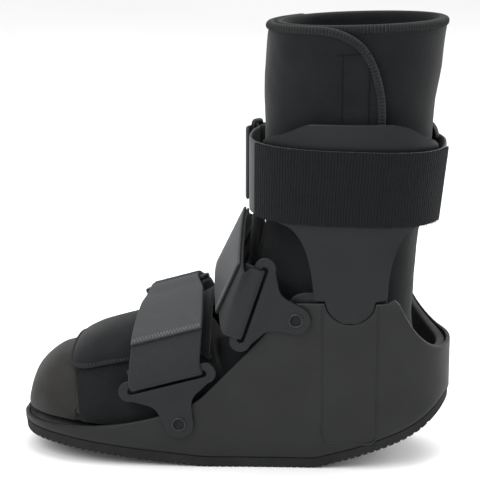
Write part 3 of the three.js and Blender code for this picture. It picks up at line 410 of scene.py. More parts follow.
    def share(self, x: float) -> float:
        """Share of the length at x."""
        return (x - self.toe) / self.length

    def place(self, share: float) -> float:
        """x at a share of the length."""
        return self.toe + share * self.length

    def rocker(self, x: float) -> float:
        """Height of the sole's underside."""
        s = self.share(x)
        return self.toe_spring * self.rockers.read("toe", s) + self.heel_bevel * self.rockers.read("heel", s)

    def underside(self, x: float) -> float:
        """Height of the shell's underside."""
        return self.rocker(x) + self.outsole + self.seam

    def cavity_floor(self, x: float) -> float:
        """Height of the floor inside the shell."""
        return max(self.cavity_level, self.underside(x) + self.shell_floor)

    def liner_floor(self, x: float) -> float:
        """Height of the liner's sole."""
        return self.cavity_floor(x) + self.seam + self.footbed + self.liner_clearance

    def rim(self, x: float) -> float:
        """Height of the shell's upper edge."""
        return self.shell_height * self.rims.read("rise", self.share(x))

    def end_rounding(self, x: float, inset: float) -> float:
        """Share of the half width that is left where the plan rounds off.

        Args:
            x: place along the boot.
            inset: how far the plan is drawn in.
        Returns:
            A share from 0 to 1.
        """
        left = 1.0
        for gap, radius in (
            (x - self.toe - inset, self.toe_round - inset),
            (self.heel - inset - x, self.heel_round - inset),
        ):
            inside = clamp(1 - gap / radius, 0, 1)
            left *= (1 - inside**self.round_power) ** (1 / self.round_power)
        return left

    def shell_half(self, x: float, z: float, inset: float = 0) -> float:
        """Half width of the shell's outside.

        Args:
            x: place along the boot.
            z: height.
            inset: how far it is drawn in.
        Returns:
            The half width.
        """
        s = self.share(x)
        level = clamp(z / self.shell_height, 0, 1.3)
        half = self.sole_width / 2 * lerp(self.plans.read("foot", s), self.plans.read("top", s), level)
        return max((half - inset) * self.end_rounding(x, inset), 0.4)

    @cached_property
    def liner_rows(self) -> list[Liner]:
        """All of the liner's sections, from the toe to the cuff."""
        leg = self.height - self.instep_height

        def room(x: float, z: float) -> float:
            """Room for the foot beside the shell."""
            return self.shell_half(x, z) - self.shell_wall - self.liner_clearance

        rows = []
        for top, rise, sole, half, crown, flat in self.foot_rows:
            x = self.place(sole)
            floor = self.liner_floor(x)
            z = max(lerp(self.liner_floor(0), self.instep_height, rise), floor + 3)
            wide = room(max(x, self.toe + self.toe_round), floor) * max(self.end_rounding(x, self.shell_wall), 0.25)
            rows.append(Liner(Vector((self.place(top), 0, z)), Vector((x, 0, floor)), half * wide, crown, flat, 0))
        for front, climb, back, lift, half in self.ankle_rows:
            x = self.place(back)
            z = max(self.liner_floor(x), lerp(self.liner_floor(0), self.instep_height, lift))
            wide = room(self.place((front + back) / 2), self.shell_height * 0.5)
            dorsal = Vector((self.place(front), 0, self.instep_height + climb * leg))
            rows.append(Liner(dorsal, Vector((x, 0, z)), half * wide, 2.2, 2.6, 0))
        for front, climb, back, back_climb, half in self.leg_rows:
            dorsal = Vector((self.leg_centre + front * self.calf_depth, 0, self.instep_height + climb * leg))
            z = self.instep_height + back_climb * (leg + self.cuff_rise)
            plantar = Vector((self.leg_centre + back * self.calf_depth, 0, z))
            shift = smoothstep(climb, 0.3, 0.6) * (self.flap + self.pad_seat) / 2
            rows.append(Liner(dorsal, plantar, half * self.calf_width / 2, 2.1, 2.1, shift))
        return rows

    @cached_property
    def last_row(self) -> int:
        """Number of the liner's last row."""
        return len(self.liner_rows) - 1

    def section(self, at: float) -> Liner:
        """The liner's section at a row number.

        Args:
            at: the row number, which may lie between two rows.
        Returns:
            The section.
        """
        i = int(clamp(at, 0, self.last_row - 1))
        t = at - i
        rows = [self.liner_rows[int(clamp(k, 0, self.last_row))] for k in (i - 1, i, i + 1, i + 2)]
        a, b = 2 * t**3 - 3 * t**2 + 1, t**3 - 2 * t**2 + t
        c, d = -2 * t**3 + 3 * t**2, t**3 - t**2

        def curve(get: Callable[[Liner], float]) -> float:
            """Blends one value over four rows."""
            p = [get(row) for row in rows]
            return a * p[1] + b * (p[2] - p[0]) / 2 + c * p[2] + d * (p[3] - p[1]) / 2

        return Liner(
            Vector((curve(lambda r: r.dorsal.x), 0, curve(lambda r: r.dorsal.z))),
            Vector((curve(lambda r: r.plantar.x), 0, curve(lambda r: r.plantar.z))),
            curve(lambda r: r.half),
            curve(lambda r: r.crown),
            curve(lambda r: r.flat),
            curve(lambda r: r.shift),
        )

    def liner_point(self, at: float, angle: float, offset: float = 0) -> Vector:
        """A point of the liner's surface.

        Args:
            at: row number.
            angle: angle from the top of the foot, negative towards the near side.
            offset: how far the point is moved out.
        Returns:
            The point.
        """
        s = self.section(at)
        centre = (s.dorsal + s.plantar) / 2
        arm = s.dorsal - centre
        arm *= max(arm.length + offset, 0.6) / arm.length
        c = cos(angle)
        power = 2 / (s.crown if c >= 0 else s.flat)
        point = centre + arm * signed_power(c, power)
        point.y = s.shift + max(s.half + offset, 0.6) * signed_power(sin(angle), power)
        return point

    def leg_half(self, z: float) -> float:
        """The liner's half width on the leg.

        Args:
            z: height.
        Returns:
            The mean of the sections whose front and whose back lie at that height.
        """
        low, high = float(len(self.foot_rows)), float(self.last_row)
        halves = []
        for key in ("dorsal", "plantar"):
            at = bisect(low, high, lambda row: getattr(self.section(row), key).z < z, 25)
            halves.append(self.section(at).half)
        return sum(halves) / 2

    def wing_oval(self, z: float, offset: float = 0) -> tuple[float, float, float]:
        """The oval on which an upright's wing lies.

        Args:
            z: height.
            offset: how far outside the wing.
        Returns:
            The oval's centre, half depth and half width.
        """
        level = clamp(z, self.wing_bottom - 12, self.wing_top + 6)
        rise = (level - self.wing_bottom) / (self.wing_top - self.wing_bottom)
        back = lerp(self.oval_back_low, self.oval_back_high, rise)
        outward = self.flap / 2 + self.pad_seat + self.wing_gap + self.upright_wall
        half = self.leg_half(level) + outward + offset
        return (self.oval_front + back) / 2, (back - self.oval_front) / 2 + offset, half

    def upright_half(self, x: float, z: float, offset: float = 0) -> float:
        """Outer half width of an upright: flush with the shell below, on its oval above.

        Args:
            x: place along the boot.
            z: height.
            offset: how far outside the upright.
        Returns:
            The half width.
        """
        up = smoothstep(z, self.shell_height + 2, self.wing_bottom + 4)
        centre, depth, half = self.wing_oval(z, offset)
        reach = clamp(abs(x - centre) / depth, 0, 1)
        oval = half * (1 - reach**self.oval_power) ** (1 / self.oval_power)
        return lerp(self.shell_half(x, z) + offset, oval, up)

    def plate_half(self, strap: FootStrap, x: float) -> float:
        """Half width of the boot at the middle of a plate's thickness.

        Args:
            strap: the plate's strap.
            x: place along the boot.
        Returns:
            The half width.
        """
        rx, rz = strap.rivet
        slope = (self.shell_half(rx + 5, rz) - self.shell_half(rx - 5, rz)) / 10
        return self.shell_half(rx, rz) + slope * (x - rx) + self.seam + self.plate_swell + self.plate / 2

    def plate_point(self, strap: FootStrap, along: float, up: float) -> Vector:
        """A point on the middle of a near plate.

        Args:
            strap: the plate's strap.
            along: place along the slot from its middle.
            up: place up from the rivet.
        Returns:
            The point.
        """
        turn = radians(strap.tilt)
        x = strap.rivet[0] + along * cos(turn) - up * sin(turn)
        z = strap.rivet[1] + along * sin(turn) + up * cos(turn)
        return Vector((x, -self.plate_half(strap, x), z))

    @property
    def ring_wrap(self) -> float:
        """Radius of a strap's middle round a ring's bar."""
        return self.ring_bar / 2 * sqrt(2) + self.seam + self.strap / 2

    @property
    def rail_wrap(self) -> float:
        """Radius of a strap's middle round a plate's rail."""
        return self.plate / 2 * sqrt(2) + self.seam + self.strap / 2

    @property
    def layer_step(self) -> float:
        """Half the step between a strap's layers."""
        return (self.strap + self.strap_gap) / 2

    @property
    def bar_reach(self) -> float:
        """From the middle of a ring to the middle of its bar."""
        return (self.ring_opening + self.ring_bar) / 2

    def rail(self, strap: FootStrap) -> tuple[Vector, Vector, Vector, Vector, Vector]:
        """The rail of a near plate, round which its strap turns.

        Args:
            strap: the strap.
        Returns:
            The rail's top and foot, and the ways up it, across the strap and outward.
        """
        top_up = self.plate_reach + self.plate_slot / 2 + self.plate_rail
        top = self.plate_point(strap, 0, top_up)
        foot = self.plate_point(strap, 0, self.plate_reach + self.plate_slot / 2 + self.plate / 2)
        up = (top - foot).normalized()
        across = (self.plate_point(strap, 1, top_up) - self.plate_point(strap, -1, top_up)).normalized()
        out = across.cross(up).normalized()
        if out.y > 0:
            out.negate()
        return top, foot, up, across, out

    def arch(self, strap: FootStrap, t: float) -> Frame:
        """A foot strap's frame between its layers.

        Args:
            strap: the strap.
            t: place along it, from the near rail at 0 to the far one at 1.
        Returns:
            The frame.
        """
        top, _, _, rail, out = self.rail(strap)
        start = top + out * (self.rail_wrap + self.layer_step)
        turn = radians(strap.crest_tilt)
        crest_across = Vector((cos(turn), 0, sin(turn)))

        def at(u: float) -> tuple[Vector, Vector]:
            """Middle and way across."""
            over = sin(pi * u)
            across = rail.copy()
            across.y *= copysign(1, 0.5 - u)
            across = across.lerp(crest_across, abs(over) ** strap.bend)
            across.y -= strap.lean * sin(tau * u)
            x = lerp(start.x, strap.crest[0], signed_power(over, strap.slide))
            y = start.y * signed_power(cos(pi * u), strap.bend)
            z = lerp(start.z, strap.crest[1], signed_power(over, strap.climb))
            return Vector((x, y, z)), across.normalized()

        away = abs(t - strap.ring)
        wide = smoothstep(away, 0, self.widen_reach)
        pinch = strap.pinch * (1 - smoothstep(away, *self.pinch_reach))
        half = lerp(self.pinched, self.strap_width, wide) / 2 - pinch
        return frame_on(at, t, 0.01, half, Vector((strap.rivet[0], 0, strap.rivet[1])))

    def calf(self, angle: float, distance: float) -> Frame:
        """The calf strap's frame.

        Args:
            angle: angle round the leg from its front, towards the near side.
            distance: how far outside the wings.
        Returns:
            The frame.
        """

        def at(turn: float) -> tuple[Vector, Vector]:
            """Middle and way across."""
            ends = []
            for side in (-1, 1):
                drop = self.calf_slope * cos(turn) * self.wing_length / 2
                z = self.calf_height + side * self.strap_width / 2 + drop
                centre, depth, half = self.wing_oval(z, distance)
                power = 2 / self.oval_power
                x = centre - depth * signed_power(cos(turn), power)
                ends.append(Vector((x, -half * signed_power(sin(turn), power), z)))
            return (ends[0] + ends[1]) / 2, (ends[1] - ends[0]).normalized()

        core = Vector((self.wing_centre, 0, self.calf_height))
        return frame_on(at, angle, 0.02, self.strap_width / 2, core)


FORM = BootForm()


class Shaper:
    """Turns rows of points into meshes and finishes them with modifiers."""

    @staticmethod
    def mesh(
        name: str,
        points: Sequence[Sequence[float]],
        faces: Sequence[Sequence[int]],
        uvs: Sequence[Sequence[float]] = (),
    ) -> Mesh:
        """A smooth mesh with the map that the weaves follow.

        Args:
            name: the mesh's name.
            points: its points, in metres.
            faces: its faces.
            uvs: the map at each face's corners, in turn.
        Returns:
            The mesh.
        """
        mesh = bpy.data.meshes.new(name)
        mesh.from_pydata(points, [], faces)
        layer = mesh.uv_layers.new(name="cloth")
        for corner, uv in zip(layer.data, uvs):
            corner.uv = uv
        mesh.shade_smooth()
        return mesh

    @staticmethod
    def lattice(
        name: str,
        rows: Sequence[Sequence[Vector]],
        wrap: bool = False,
        flip: bool = False,
        caps: bool = False,
        loop: bool = False,
    ) -> Object:
        """Makes a quad mesh through rows of points, with a map in metres along and across them.

        Args:
            name: the new object's name.
            rows: rows with the same number of points, in millimetres.
            wrap: joins each row's last point to its first.
            flip: turns the faces over.
            caps: closes the first and last rows of a wrapped lattice.
            loop: joins the last row to the first.
        Returns:
            The object.
        """
        count, width = len(rows), len(rows[0])
        points = [tuple(p * MM) for row in rows for p in row]
        across = [[0.0] for _ in rows]
        for i, row in enumerate(rows):
            for j in range(width if wrap else width - 1):
                across[i].append(across[i][-1] + (row[(j + 1) % width] - row[j]).length * MM)
        along = [0.0]
        for i in range(count if loop else count - 1):
            middle = (rows[(i + 1) % count][width // 2] - rows[i][width // 2]).length
            start = (rows[(i + 1) % count][0] - rows[i][0]).length
            along.append(along[-1] + (middle + start) / 2 * MM)
        faces: list[tuple[int, ...]] = []
        maps: list[Pair] = []
        for i in range(count if loop else count - 1):
            for j in range(width if wrap else width - 1):
                corners = [(i, j), (i, j + 1), (i + 1, j + 1), (i + 1, j)]
                if flip:
                    corners.reverse()
                faces.append(tuple((a % count) * width + b % width for a, b in corners))
                middle = [across[a % count][width // 2 if not wrap else 0] for a, _ in corners]
                maps += [(along[a], across[a % count][b] - m) for (a, b), m in zip(corners, middle)]
        if caps:
            for i, forward in ((0, flip), (count - 1, not flip)):
                ring = [i * width + j for j in range(width)]
                faces.append(tuple(ring if forward else ring[::-1]))
                maps += [(along[min(i, len(along) - 1)], 0.0)] * width
        return linked(name, Shaper.mesh(name, points, faces, maps))

    @staticmethod
    def close_fold(piece: Object, count: int, width: int) -> None:
        """Closes the two ends of a lattice whose rows go out along one face and back along the other.

        Args:
            piece: the wrapped lattice.
            count: its number of rows.
            width: the number of points in a row.
        """
        mesh = piece.data
        points = [tuple(v.co) for v in mesh.vertices]
        faces = [tuple(p.vertices) for p in mesh.polygons]
        uvs = [tuple(d.uv) for d in mesh.uv_layers["cloth"].data]
        for row, forward in ((0, False), (count - 1, True)):
            for k in range(width // 2 - 1):
                quad = [row * width + n for n in (k, k + 1, width - 2 - k, width - 1 - k)]
                faces.append(tuple(quad if forward else quad[::-1]))
                uvs += [(0.0, 0.0)] * 4
        piece.data = Shaper.mesh(piece.name, points, faces, uvs)
        bpy.data.meshes.remove(mesh)

    @staticmethod
    def spaced(path: Sequence[Frame], pitch: float, loop: bool = False) -> list[Frame]:
        """Frames at an even spacing along a path.

        Args:
            path: frames along the path.
            pitch: the spacing, in millimetres.
            loop: the path closes on itself.
        Returns:
            The new frames, with the way along the path in each.
        """
        points = [*path, path[0]] if loop else list(path)
        lengths = [0.0]
        for a, b in zip(points, points[1:]):
            lengths.append(lengths[-1] + (b.centre - a.centre).length)
        count = max(2, round(lengths[-1] / pitch))
        made, i = [], 0
        for k in range(count if loop else count + 1):
            want = lengths[-1] * k / count
            while i < len(points) - 2 and lengths[i + 1] < want:
                i += 1
            a, b = points[i], points[i + 1]
            t = (want - lengths[i]) / max(lengths[i + 1] - lengths[i], 1e-9)
            made.append(
                Frame(
                    a.centre.lerp(b.centre, t),
                    a.across.lerp(b.across, t).normalized(),
                    a.normal.lerp(b.normal, t).normalized(),
                    lerp(a.half, b.half, t),
                    (b.centre - a.centre).normalized(),
                )
            )
        return made

    @staticmethod
    def threads(name: str, stitches: Sequence[tuple[Vector, Vector, Vector]], radius: float) -> Object:
        """Sews stitches as thin arched threads.

        Args:
            name: the new object's name.
            stitches: each one's start, end and way out of the cloth, in millimetres.
            radius: the thread's radius.
        Returns:
            One object with every stitch.
        """
        points: list[tuple[float, float, float]] = []
        faces: list[tuple[int, ...]] = []
        for a, b, out in stitches:
            along = (b - a).normalized()
            side = along.cross(out).normalized()
            base = len(points)
            for t in (0.0, 0.16, 0.5, 0.84, 1.0):
                arch = radius * (1 - (2 * t - 1) ** 2)
                size = radius * (0.35 if t in (0.0, 1.0) else 1.0)
                middle = a.lerp(b, t) + out * arch
                for k in range(5):
                    turn = tau * k / 5
                    corner = middle + side * (size * cos(turn)) + out * (size * sin(turn))
                    points.append(tuple(corner * MM))
            for i in range(4):
                for k in range(5):
                    low, high = base + i * 5, base + i * 5 + 5
                    faces.append((low + k, high + k, high + (k + 1) % 5, low + (k + 1) % 5))
            faces.append(tuple(base + k for k in range(5)))
            faces.append(tuple(base + 20 + k for k in reversed(range(5))))
        return linked(name, Shaper.mesh(name, points, faces))

    @staticmethod
    def binding(name: str, path: Sequence[Frame], reach: float, pitch: float, loop: bool = False) -> Object:
        """Oversews an edge with a soft binding that swells between its stitches.

        Args:
            name: the new object's name.
            path: frames along the edge, with half the edge's thickness as their half width.
            reach: how far the binding reaches in from the edge, along each frame's normal.
            pitch: distance between stitches.
            loop: the edge closes on itself.
        Returns:
            The binding.
        """
        ridge, unevenness, per_stitch = 0.3, 0.16, 6
        rings = []
        for i, at in enumerate(Shaper.spaced(path, pitch / per_stitch, loop)):
            swell = 1 + ridge * (abs(sin(pi * i / per_stitch)) - 0.6) + unevenness * noise.noise(at.centre / 9)
            rings.append(Frame(at.centre, at.across, at.normal, at.half * swell, at.along))

        def oval(at: Frame) -> list[Pair]:
            """A rounded section of the binding."""
            turns = [tau * k / 14 for k in range(14)]
            squared = [(signed_power(cos(a), 0.8), signed_power(sin(a), 0.8)) for a in turns]
            return [(at.half * c, reach * 0.5 * s) for c, s in squared]

        return Shaper.sweep(name, rings, oval, loop)

    @staticmethod
    def thicken(piece: Object, depth: float, offset: float = -1) -> None:
        """Gives a sheet its thickness.

        Args:
            piece: the sheet.
            depth: its thickness.
            offset: where it goes: inwards at -1, to both sides at 0.
        """
        solid = piece.modifiers.new("thickness", "SOLIDIFY")
        solid.thickness = depth * MM
        solid.offset = offset
        solid.use_even_offset = True
        solid.thickness_clamp = 0
        solid.use_quality_normals = True

    @staticmethod
    def bevel(piece: Object, width: float, segments: int = 2, angle: float = 40) -> None:
        """Rounds the sharp edges.

        Args:
            piece: the piece.
            width: the rounding's width.
            segments: its number of segments.
            angle: the angle above which an edge is sharp, in degrees.
        """
        edge = piece.modifiers.new("rounding", "BEVEL")
        edge.width = width * MM
        edge.segments = segments
        edge.limit_method = "ANGLE"
        edge.angle_limit = radians(angle)
        edge.use_clamp_overlap = False

    @staticmethod
    def settle(piece: Object, sharp: float | None = None) -> Object:
        """Applies a piece's modifiers.

        Args:
            piece: the piece.
            sharp: angle above which edges stay sharp in the shading, if any.
        Returns:
            The same piece.
        """
        graph = bpy.context.evaluated_depsgraph_get()
        mesh = bpy.data.meshes.new_from_object(piece.evaluated_get(graph))
        piece.modifiers.clear()
        old = piece.data
        piece.data = mesh
        bpy.data.meshes.remove(old)
        mesh.shade_smooth()
        if sharp is not None:
            mesh.set_sharp_from_angle(angle=radians(sharp))
        return piece

    @staticmethod
    def join(name: str, pieces: Sequence[Object]) -> Object:
        """Joins pieces into one.

        Args:
            name: the joined piece's name.
            pieces: at least one piece, without modifiers.
        Returns:
            The joined piece.
        """
        with bpy.context.temp_override(
            active_object=pieces[0], selected_editable_objects=list(pieces), selected_objects=list(pieces)
        ):
            bpy.ops.object.join()
        pieces[0].name = name
        pieces[0].data.name = name
        return pieces[0]

    @staticmethod
    def mirrored(piece: Object, name: str) -> Object:
        """A copy of a settled piece on the other side of the boot.

        Args:
            piece: the piece.
            name: the copy's name.
        Returns:
            The copy.
        """
        mesh = piece.data.copy()
        mesh.transform(Matrix.Scale(-1, 4, Vector((0, 1, 0))))
        mesh.flip_normals()
        mesh.name = name
        return linked(name, mesh)

    @staticmethod
    def sweep(
        name: str,
        path: Sequence[Frame],
        profile: Callable[[Frame], Sequence[Pair]],
        loop: bool = False,
    ) -> Object:
        """Sweeps a closed profile along frames.

        Args:
            name: the new object's name.
            path: the frames.
            profile: gives (across, out) points for a frame.
            loop: closes the path on itself.
        Returns:
            The object.
        """
        rows = [[f.centre + f.across * s + f.normal * h for s, h in profile(f)] for f in path]
        a, b, c = rows[0][:3]
        volume = (b - a).cross(c - a).dot(path[1].centre - path[0].centre)
        return Shaper.lattice(name, rows, wrap=True, caps=not loop, loop=loop, flip=volume > 0)


def web_profile(frame_at: Frame) -> list[Pair]:
    """A strap's section: flat faces and softly rounded edges.

    Args:
        frame_at: the frame on the strap.
    Returns:
        Points across the strap and out of it.
    """
    h, t = frame_at.half, FORM.strap / 2
    low = [(h * s, -t * (0.75 if abs(s) > 0.97 else 1)) for s in (-0.985, -0.94, -0.6, -0.2, 0.2, 0.6, 0.94, 0.985)]
    return [(-h, 0.0), *low, (h, 0.0), *((s, -z) for s, z in reversed(low))]


def dress(
    piece: Object,
    finish: Material | Sequence[Material],
    nodes: Sequence[str] = (),
) -> None:
    """Gives a piece its finish, its body and the nodes that it replaces.

    Args:
        piece: the piece.
        finish: its material, or several in slot order.
        nodes: the CAD nodes that it stands for.
    """
    materials = [finish] if isinstance(finish, Material) else list(finish)
    indices = [p.material_index for p in piece.data.polygons]
    piece.data.materials.clear()
    for material in materials:
        piece.data.materials.append(material)
    if len(materials) > 1:
        for polygon, index in zip(piece.data.polygons, indices):
            polygon.material_index = min(index, len(materials) - 1)
    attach(piece, ROOT)
    if nodes:
        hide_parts(*nodes)
    log.info("%s: %d faces", piece.name, len(piece.data.polygons))


def dress_pair(
    near: Object, finish: Material | Sequence[Material], node: str = ""
) -> None:
    """Dresses a near piece and its mirrored copy on the far side.

    Args:
        near: the near piece, whose name ends with its side.
        finish: their material, or several in slot order.
        node: the CAD nodes' name without its side, if they stand for any.
    """
    far = Shaper.mirrored(near, near.name.replace(Side.NEAR.label, Side.FAR.label))
    for piece, side in ((near, Side.NEAR), (far, Side.FAR)):
        dress(piece, finish, [f"{node}_{side.label}"] if node else [])


def two_finishes(piece: Object, second: Callable[[int], bool]) -> None:
    """Marks the faces that take the second of two finishes.

    Args:
        piece: the piece.
        second: says whether a face's number takes the second finish.
    """
    piece.data.materials.append(None)
    piece.data.materials.append(None)
    for k, polygon in enumerate(piece.data.polygons):
        polygon.material_index = int(second(k))


class NodeSheet:
    """A material's nodes, with short calls for those that the finishes use."""

    def __init__(self, name: str, roughness: float, sheen: float = 0.0, specular: float = 0.5) -> None:
        """Args: name, roughness, sheen weight and specular level of the shader."""
        self.material = bpy.data.materials.new(name)
        self.material.use_nodes = True
        self.tree = self.material.node_tree
        self.shader = self.tree.nodes["Principled BSDF"]
        self.shader.inputs["Roughness"].default_value = roughness
        self.shader.inputs["Sheen Weight"].default_value = sheen
        self.shader.inputs["Sheen Roughness"].default_value = 0.45
        self.shader.inputs["Specular IOR Level"].default_value = specular

    def node(self, kind: str, **values: object) -> Node:
        """Adds a node.

        Args:
            kind: the node's type.
            values: its properties, or its inputs where the name is an input's.
        Returns:
            The node.
        """
        new = self.tree.nodes.new(kind)
        for key, value in values.items():
            title = key.replace("_", " ").title()
            if hasattr(new, key):
                setattr(new, key, value)
            else:
                new.inputs[title].default_value = value
        return new

    def link(self, source: NodeSocket, target: NodeSocket) -> None:
        """Links two sockets."""
        self.tree.links.new(source, target)

    def math(self, operation: str, *terms: object) -> NodeSocket:
        """Reckons with sockets or numbers.

        Args:
            operation: what to reckon.
            terms: sockets or numbers.
        Returns:
            The result.
        """
        new = self.tree.nodes.new("ShaderNodeMath")
        new.operation = operation
        for socket, term in zip(new.inputs, terms):
            if isinstance(term, (int, float)):
                socket.default_value = float(term)
            else:
                self.link(term, socket)
        return new.outputs[0]

    @cached_property
    def place(self) -> NodeSocket:
        """The point on the object, in metres."""
        return self.node("ShaderNodeTexCoord").outputs["Object"]

    @cached_property
    def cloth(self) -> tuple[NodeSocket, NodeSocket]:
        """The map along and across the cloth, in metres."""
        uv = self.node("ShaderNodeUVMap", uv_map="cloth")
        split = self.node("ShaderNodeSeparateXYZ")
        self.link(uv.outputs["UV"], split.inputs[0])
        return split.outputs["X"], split.outputs["Y"]

    def noise(
        self, size: float, detail: float = 2, stretch: tuple[float, float, float] = (1, 1, 1)
    ) -> NodeSocket:
        """Noise over the piece.

        Args:
            size: size of its features, in millimetres.
            detail: its detail.
            stretch: scale along each axis.
        Returns:
            Its factor.
        """
        new = self.node("ShaderNodeTexNoise", scale=1 / (size * MM), detail=detail, roughness=0.6)
        if stretch == (1, 1, 1):
            self.link(self.place, new.inputs["Vector"])
        else:
            mapping = self.node("ShaderNodeMapping")
            mapping.inputs["Scale"].default_value = stretch
            self.link(self.place, mapping.inputs["Vector"])
            self.link(mapping.outputs[0], new.inputs["Vector"])
        return new.outputs["Fac"]

    def cells(self, size: float) -> NodeSocket:
        """Cells of a size in millimetres; returns the distance."""
        new = self.node("ShaderNodeTexVoronoi", scale=1 / (size * MM))
        self.link(self.place, new.inputs["Vector"])
        return new.outputs["Distance"]

    def between(self, factor: NodeSocket, low: float, high: float) -> NodeSocket:
        """Maps a factor to a range.

        Args:
            factor: the factor, from 0 to 1.
            low: result at 0.
            high: result at 1.
        Returns:
            The result.
        """
        new = self.node("ShaderNodeMapRange")
        self.link(factor, new.inputs["Value"])
        new.inputs["To Min"].default_value = low
        new.inputs["To Max"].default_value = high
        return new.outputs["Result"]

    def ramp(
        self, factor: NodeSocket, low: float, high: float, dark: Sequence[float], light: Sequence[float]
    ) -> NodeSocket:
        """Blends two colours as a factor goes from low to high.

        Args:
            factor: the factor.
            low: where the blend starts.
            high: where it ends.
            dark: colour at the start.
            light: colour at the end.
        Returns:
            The colour.
        """
        new = self.node("ShaderNodeValToRGB")
        new.color_ramp.elements[0].position = low
        new.color_ramp.elements[0].color = (*dark, 1)
        new.color_ramp.elements[1].position = high
        new.color_ramp.elements[1].color = (*light, 1)
        self.link(factor, new.inputs["Fac"])
        return new.outputs["Color"]

    def mix(self, factor: NodeSocket, first: NodeSocket, second: Sequence[float]) -> NodeSocket:
        """Mixes a second colour into a first one.

        Args:
            factor: share of the second colour.
            first: the first colour.
            second: the second colour.
        Returns:
            The colour.
        """
        new = self.node("ShaderNodeMix", data_type="RGBA")
        self.link(factor, new.inputs[0])
        self.link(first, new.inputs[6])
        new.inputs[7].default_value = (*second, 1)
        return new.outputs[2]

    def colour(self, socket: NodeSocket) -> None:
        """Sets the base colour."""
        self.link(socket, self.shader.inputs["Base Color"])

    def roughness(self, socket: NodeSocket) -> None:
        """Sets the roughness."""
        self.link(socket, self.shader.inputs["Roughness"])

    def bumps(self, *layers: tuple[NodeSocket, float, float]) -> None:
        """Adds bumps.

        Args:
            layers: each one's height, depth in millimetres and strength.
        """
        normal = None
        for height, depth, strength in layers:
            new = self.node("ShaderNodeBump", strength=strength, distance=depth * MM)
            self.link(height, new.inputs["Height"])
            if normal is not None:
                self.link(normal, new.inputs["Normal"])
            normal = new.outputs["Normal"]
        self.link(normal, self.shader.inputs["Normal"])


def grey(level: float, tint: float = 0.0) -> tuple[float, float, float]:
    """A grey, bluish with a positive tint and warm with a negative one."""
    return level * (1 - tint), level, level * (1 + tint)


@dataclass(frozen=True)
class Moulded:
    """Moulded plastic with a fine grain, soft blotches and a painted highlight that lightens its edges."""

    name: str
    level: float
    tint: float
    roughness: float
    grain: float

    def build(self) -> Material:
        """Makes the material.

        Returns:
            The material.
        """
        sheet = NodeSheet(self.name, self.roughness, specular=0.21)
        cloud = sheet.noise(38, 4)
        base = sheet.ramp(cloud, 0.35, 0.68, grey(self.level * 0.86, self.tint), grey(self.level * 1.14, self.tint))
        scuff = sheet.ramp(sheet.noise(9, 5, (1, 1, 3)), 0.6, 0.78, (0, 0, 0), (0.2, 0.2, 0.2))
        base = sheet.mix(scuff, base, grey(self.level * 1.8, self.tint))
        # Pointiness lightens the sharp edges and bevels: a painted highlight.
        edge = sheet.node("ShaderNodeNewGeometry").outputs["Pointiness"]
        edge_highlight = sheet.ramp(edge, 0.515, 0.585, (0, 0, 0), (0.7, 0.7, 0.7))
        sheet.colour(sheet.mix(edge_highlight, base, grey(self.level * 3.2, self.tint)))
        sheet.roughness(sheet.between(sheet.noise(14, 3), self.roughness - 0.07, self.roughness + 0.09))
        sheet.bumps((sheet.noise(0.55, 2), 0.12, self.grain), (sheet.noise(2.6, 2), 0.2, self.grain * 0.35))
        return sheet.material


@dataclass(frozen=True)
class Brushed:
    """Brushed loop fabric over foam."""

    name: str
    level: float
    tint: float
    sheen: float
    nap: float

    def build(self) -> Material:
        """Makes the material.

        Returns:
            The material.
        """
        sheet = NodeSheet(self.name, 0.95, sheen=self.sheen, specular=0.1)
        dark, light = grey(self.level * 0.78, self.tint), grey(self.level * 1.2, self.tint)
        base = sheet.ramp(sheet.noise(22, 4), 0.3, 0.7, dark, light)
        fleck = sheet.ramp(sheet.cells(self.nap), 0.1, 0.75, (0, 0, 0), (0.45, 0.45, 0.45))
        base = sheet.mix(fleck, base, grey(self.level * 0.45, self.tint))
        lint = sheet.ramp(sheet.noise(self.nap * 1.7, 3), 0.62, 0.75, (0, 0, 0), (0.35, 0.35, 0.35))
        sheet.colour(sheet.mix(lint, base, grey(self.level * 2.2, self.tint)))
        nap, fuzz = sheet.cells(self.nap), sheet.noise(0.4, 2)
        sheet.bumps((sheet.noise(6, 3), 0.5, 0.22), (nap, 0.3, 0.5), (fuzz, 0.2, 0.4))
        return sheet.material


@dataclass(frozen=True)
class Ribbed:
    """Woven webbing with ribs along the strap and picks across it."""

    name: str
    level: float
    tint: float
    rib: float
    pick: float
    depth: float
    roughness: float = 0.8
    turned: bool = False
    drift: float = 0.2
    gloss: float = 0.2

    def build(self) -> Material:
        """Makes the material.

        Returns:
            The material.
        """
        sheet = NodeSheet(self.name, self.roughness, sheen=self.gloss * 0.3, specular=self.gloss)
        along, across = reversed(sheet.cloth) if self.turned else sheet.cloth
        across = sheet.math("ADD", across, sheet.math("MULTIPLY", sheet.noise(9, 3), self.drift * MM))
        turns = sheet.math("MULTIPLY", across, tau / (self.rib * MM))
        rib = sheet.math("ABSOLUTE", sheet.math("SINE", sheet.math("MULTIPLY", turns, 0.5)))
        number = sheet.math("FLOOR", sheet.math("DIVIDE", across, self.rib * MM))
        phase = sheet.math("MULTIPLY", number, pi)
        pick = sheet.math("SINE", sheet.math("ADD", sheet.math("MULTIPLY", along, tau / (self.pick * MM)), phase))
        height = sheet.math("ADD", sheet.math("MULTIPLY", rib, 0.75), sheet.math("MULTIPLY", pick, 0.25))
        # Colour follows the rib height plus noise: painted shade in the grooves between the ribs and painted light on
        # their crests, with random tone from the noise.
        rib_shade_and_tone = sheet.math("ADD", height, sheet.math("MULTIPLY", sheet.noise(5, 3), 0.5))
        base = sheet.ramp(rib_shade_and_tone, 0.15, 1.2, grey(self.level * 0.5, self.tint), grey(self.level * 1.25, self.tint))
        sheet.colour(base)
        sheet.bumps((height, self.depth, 0.75), (sheet.noise(0.45, 2), 0.15, 0.35))
        return sheet.material


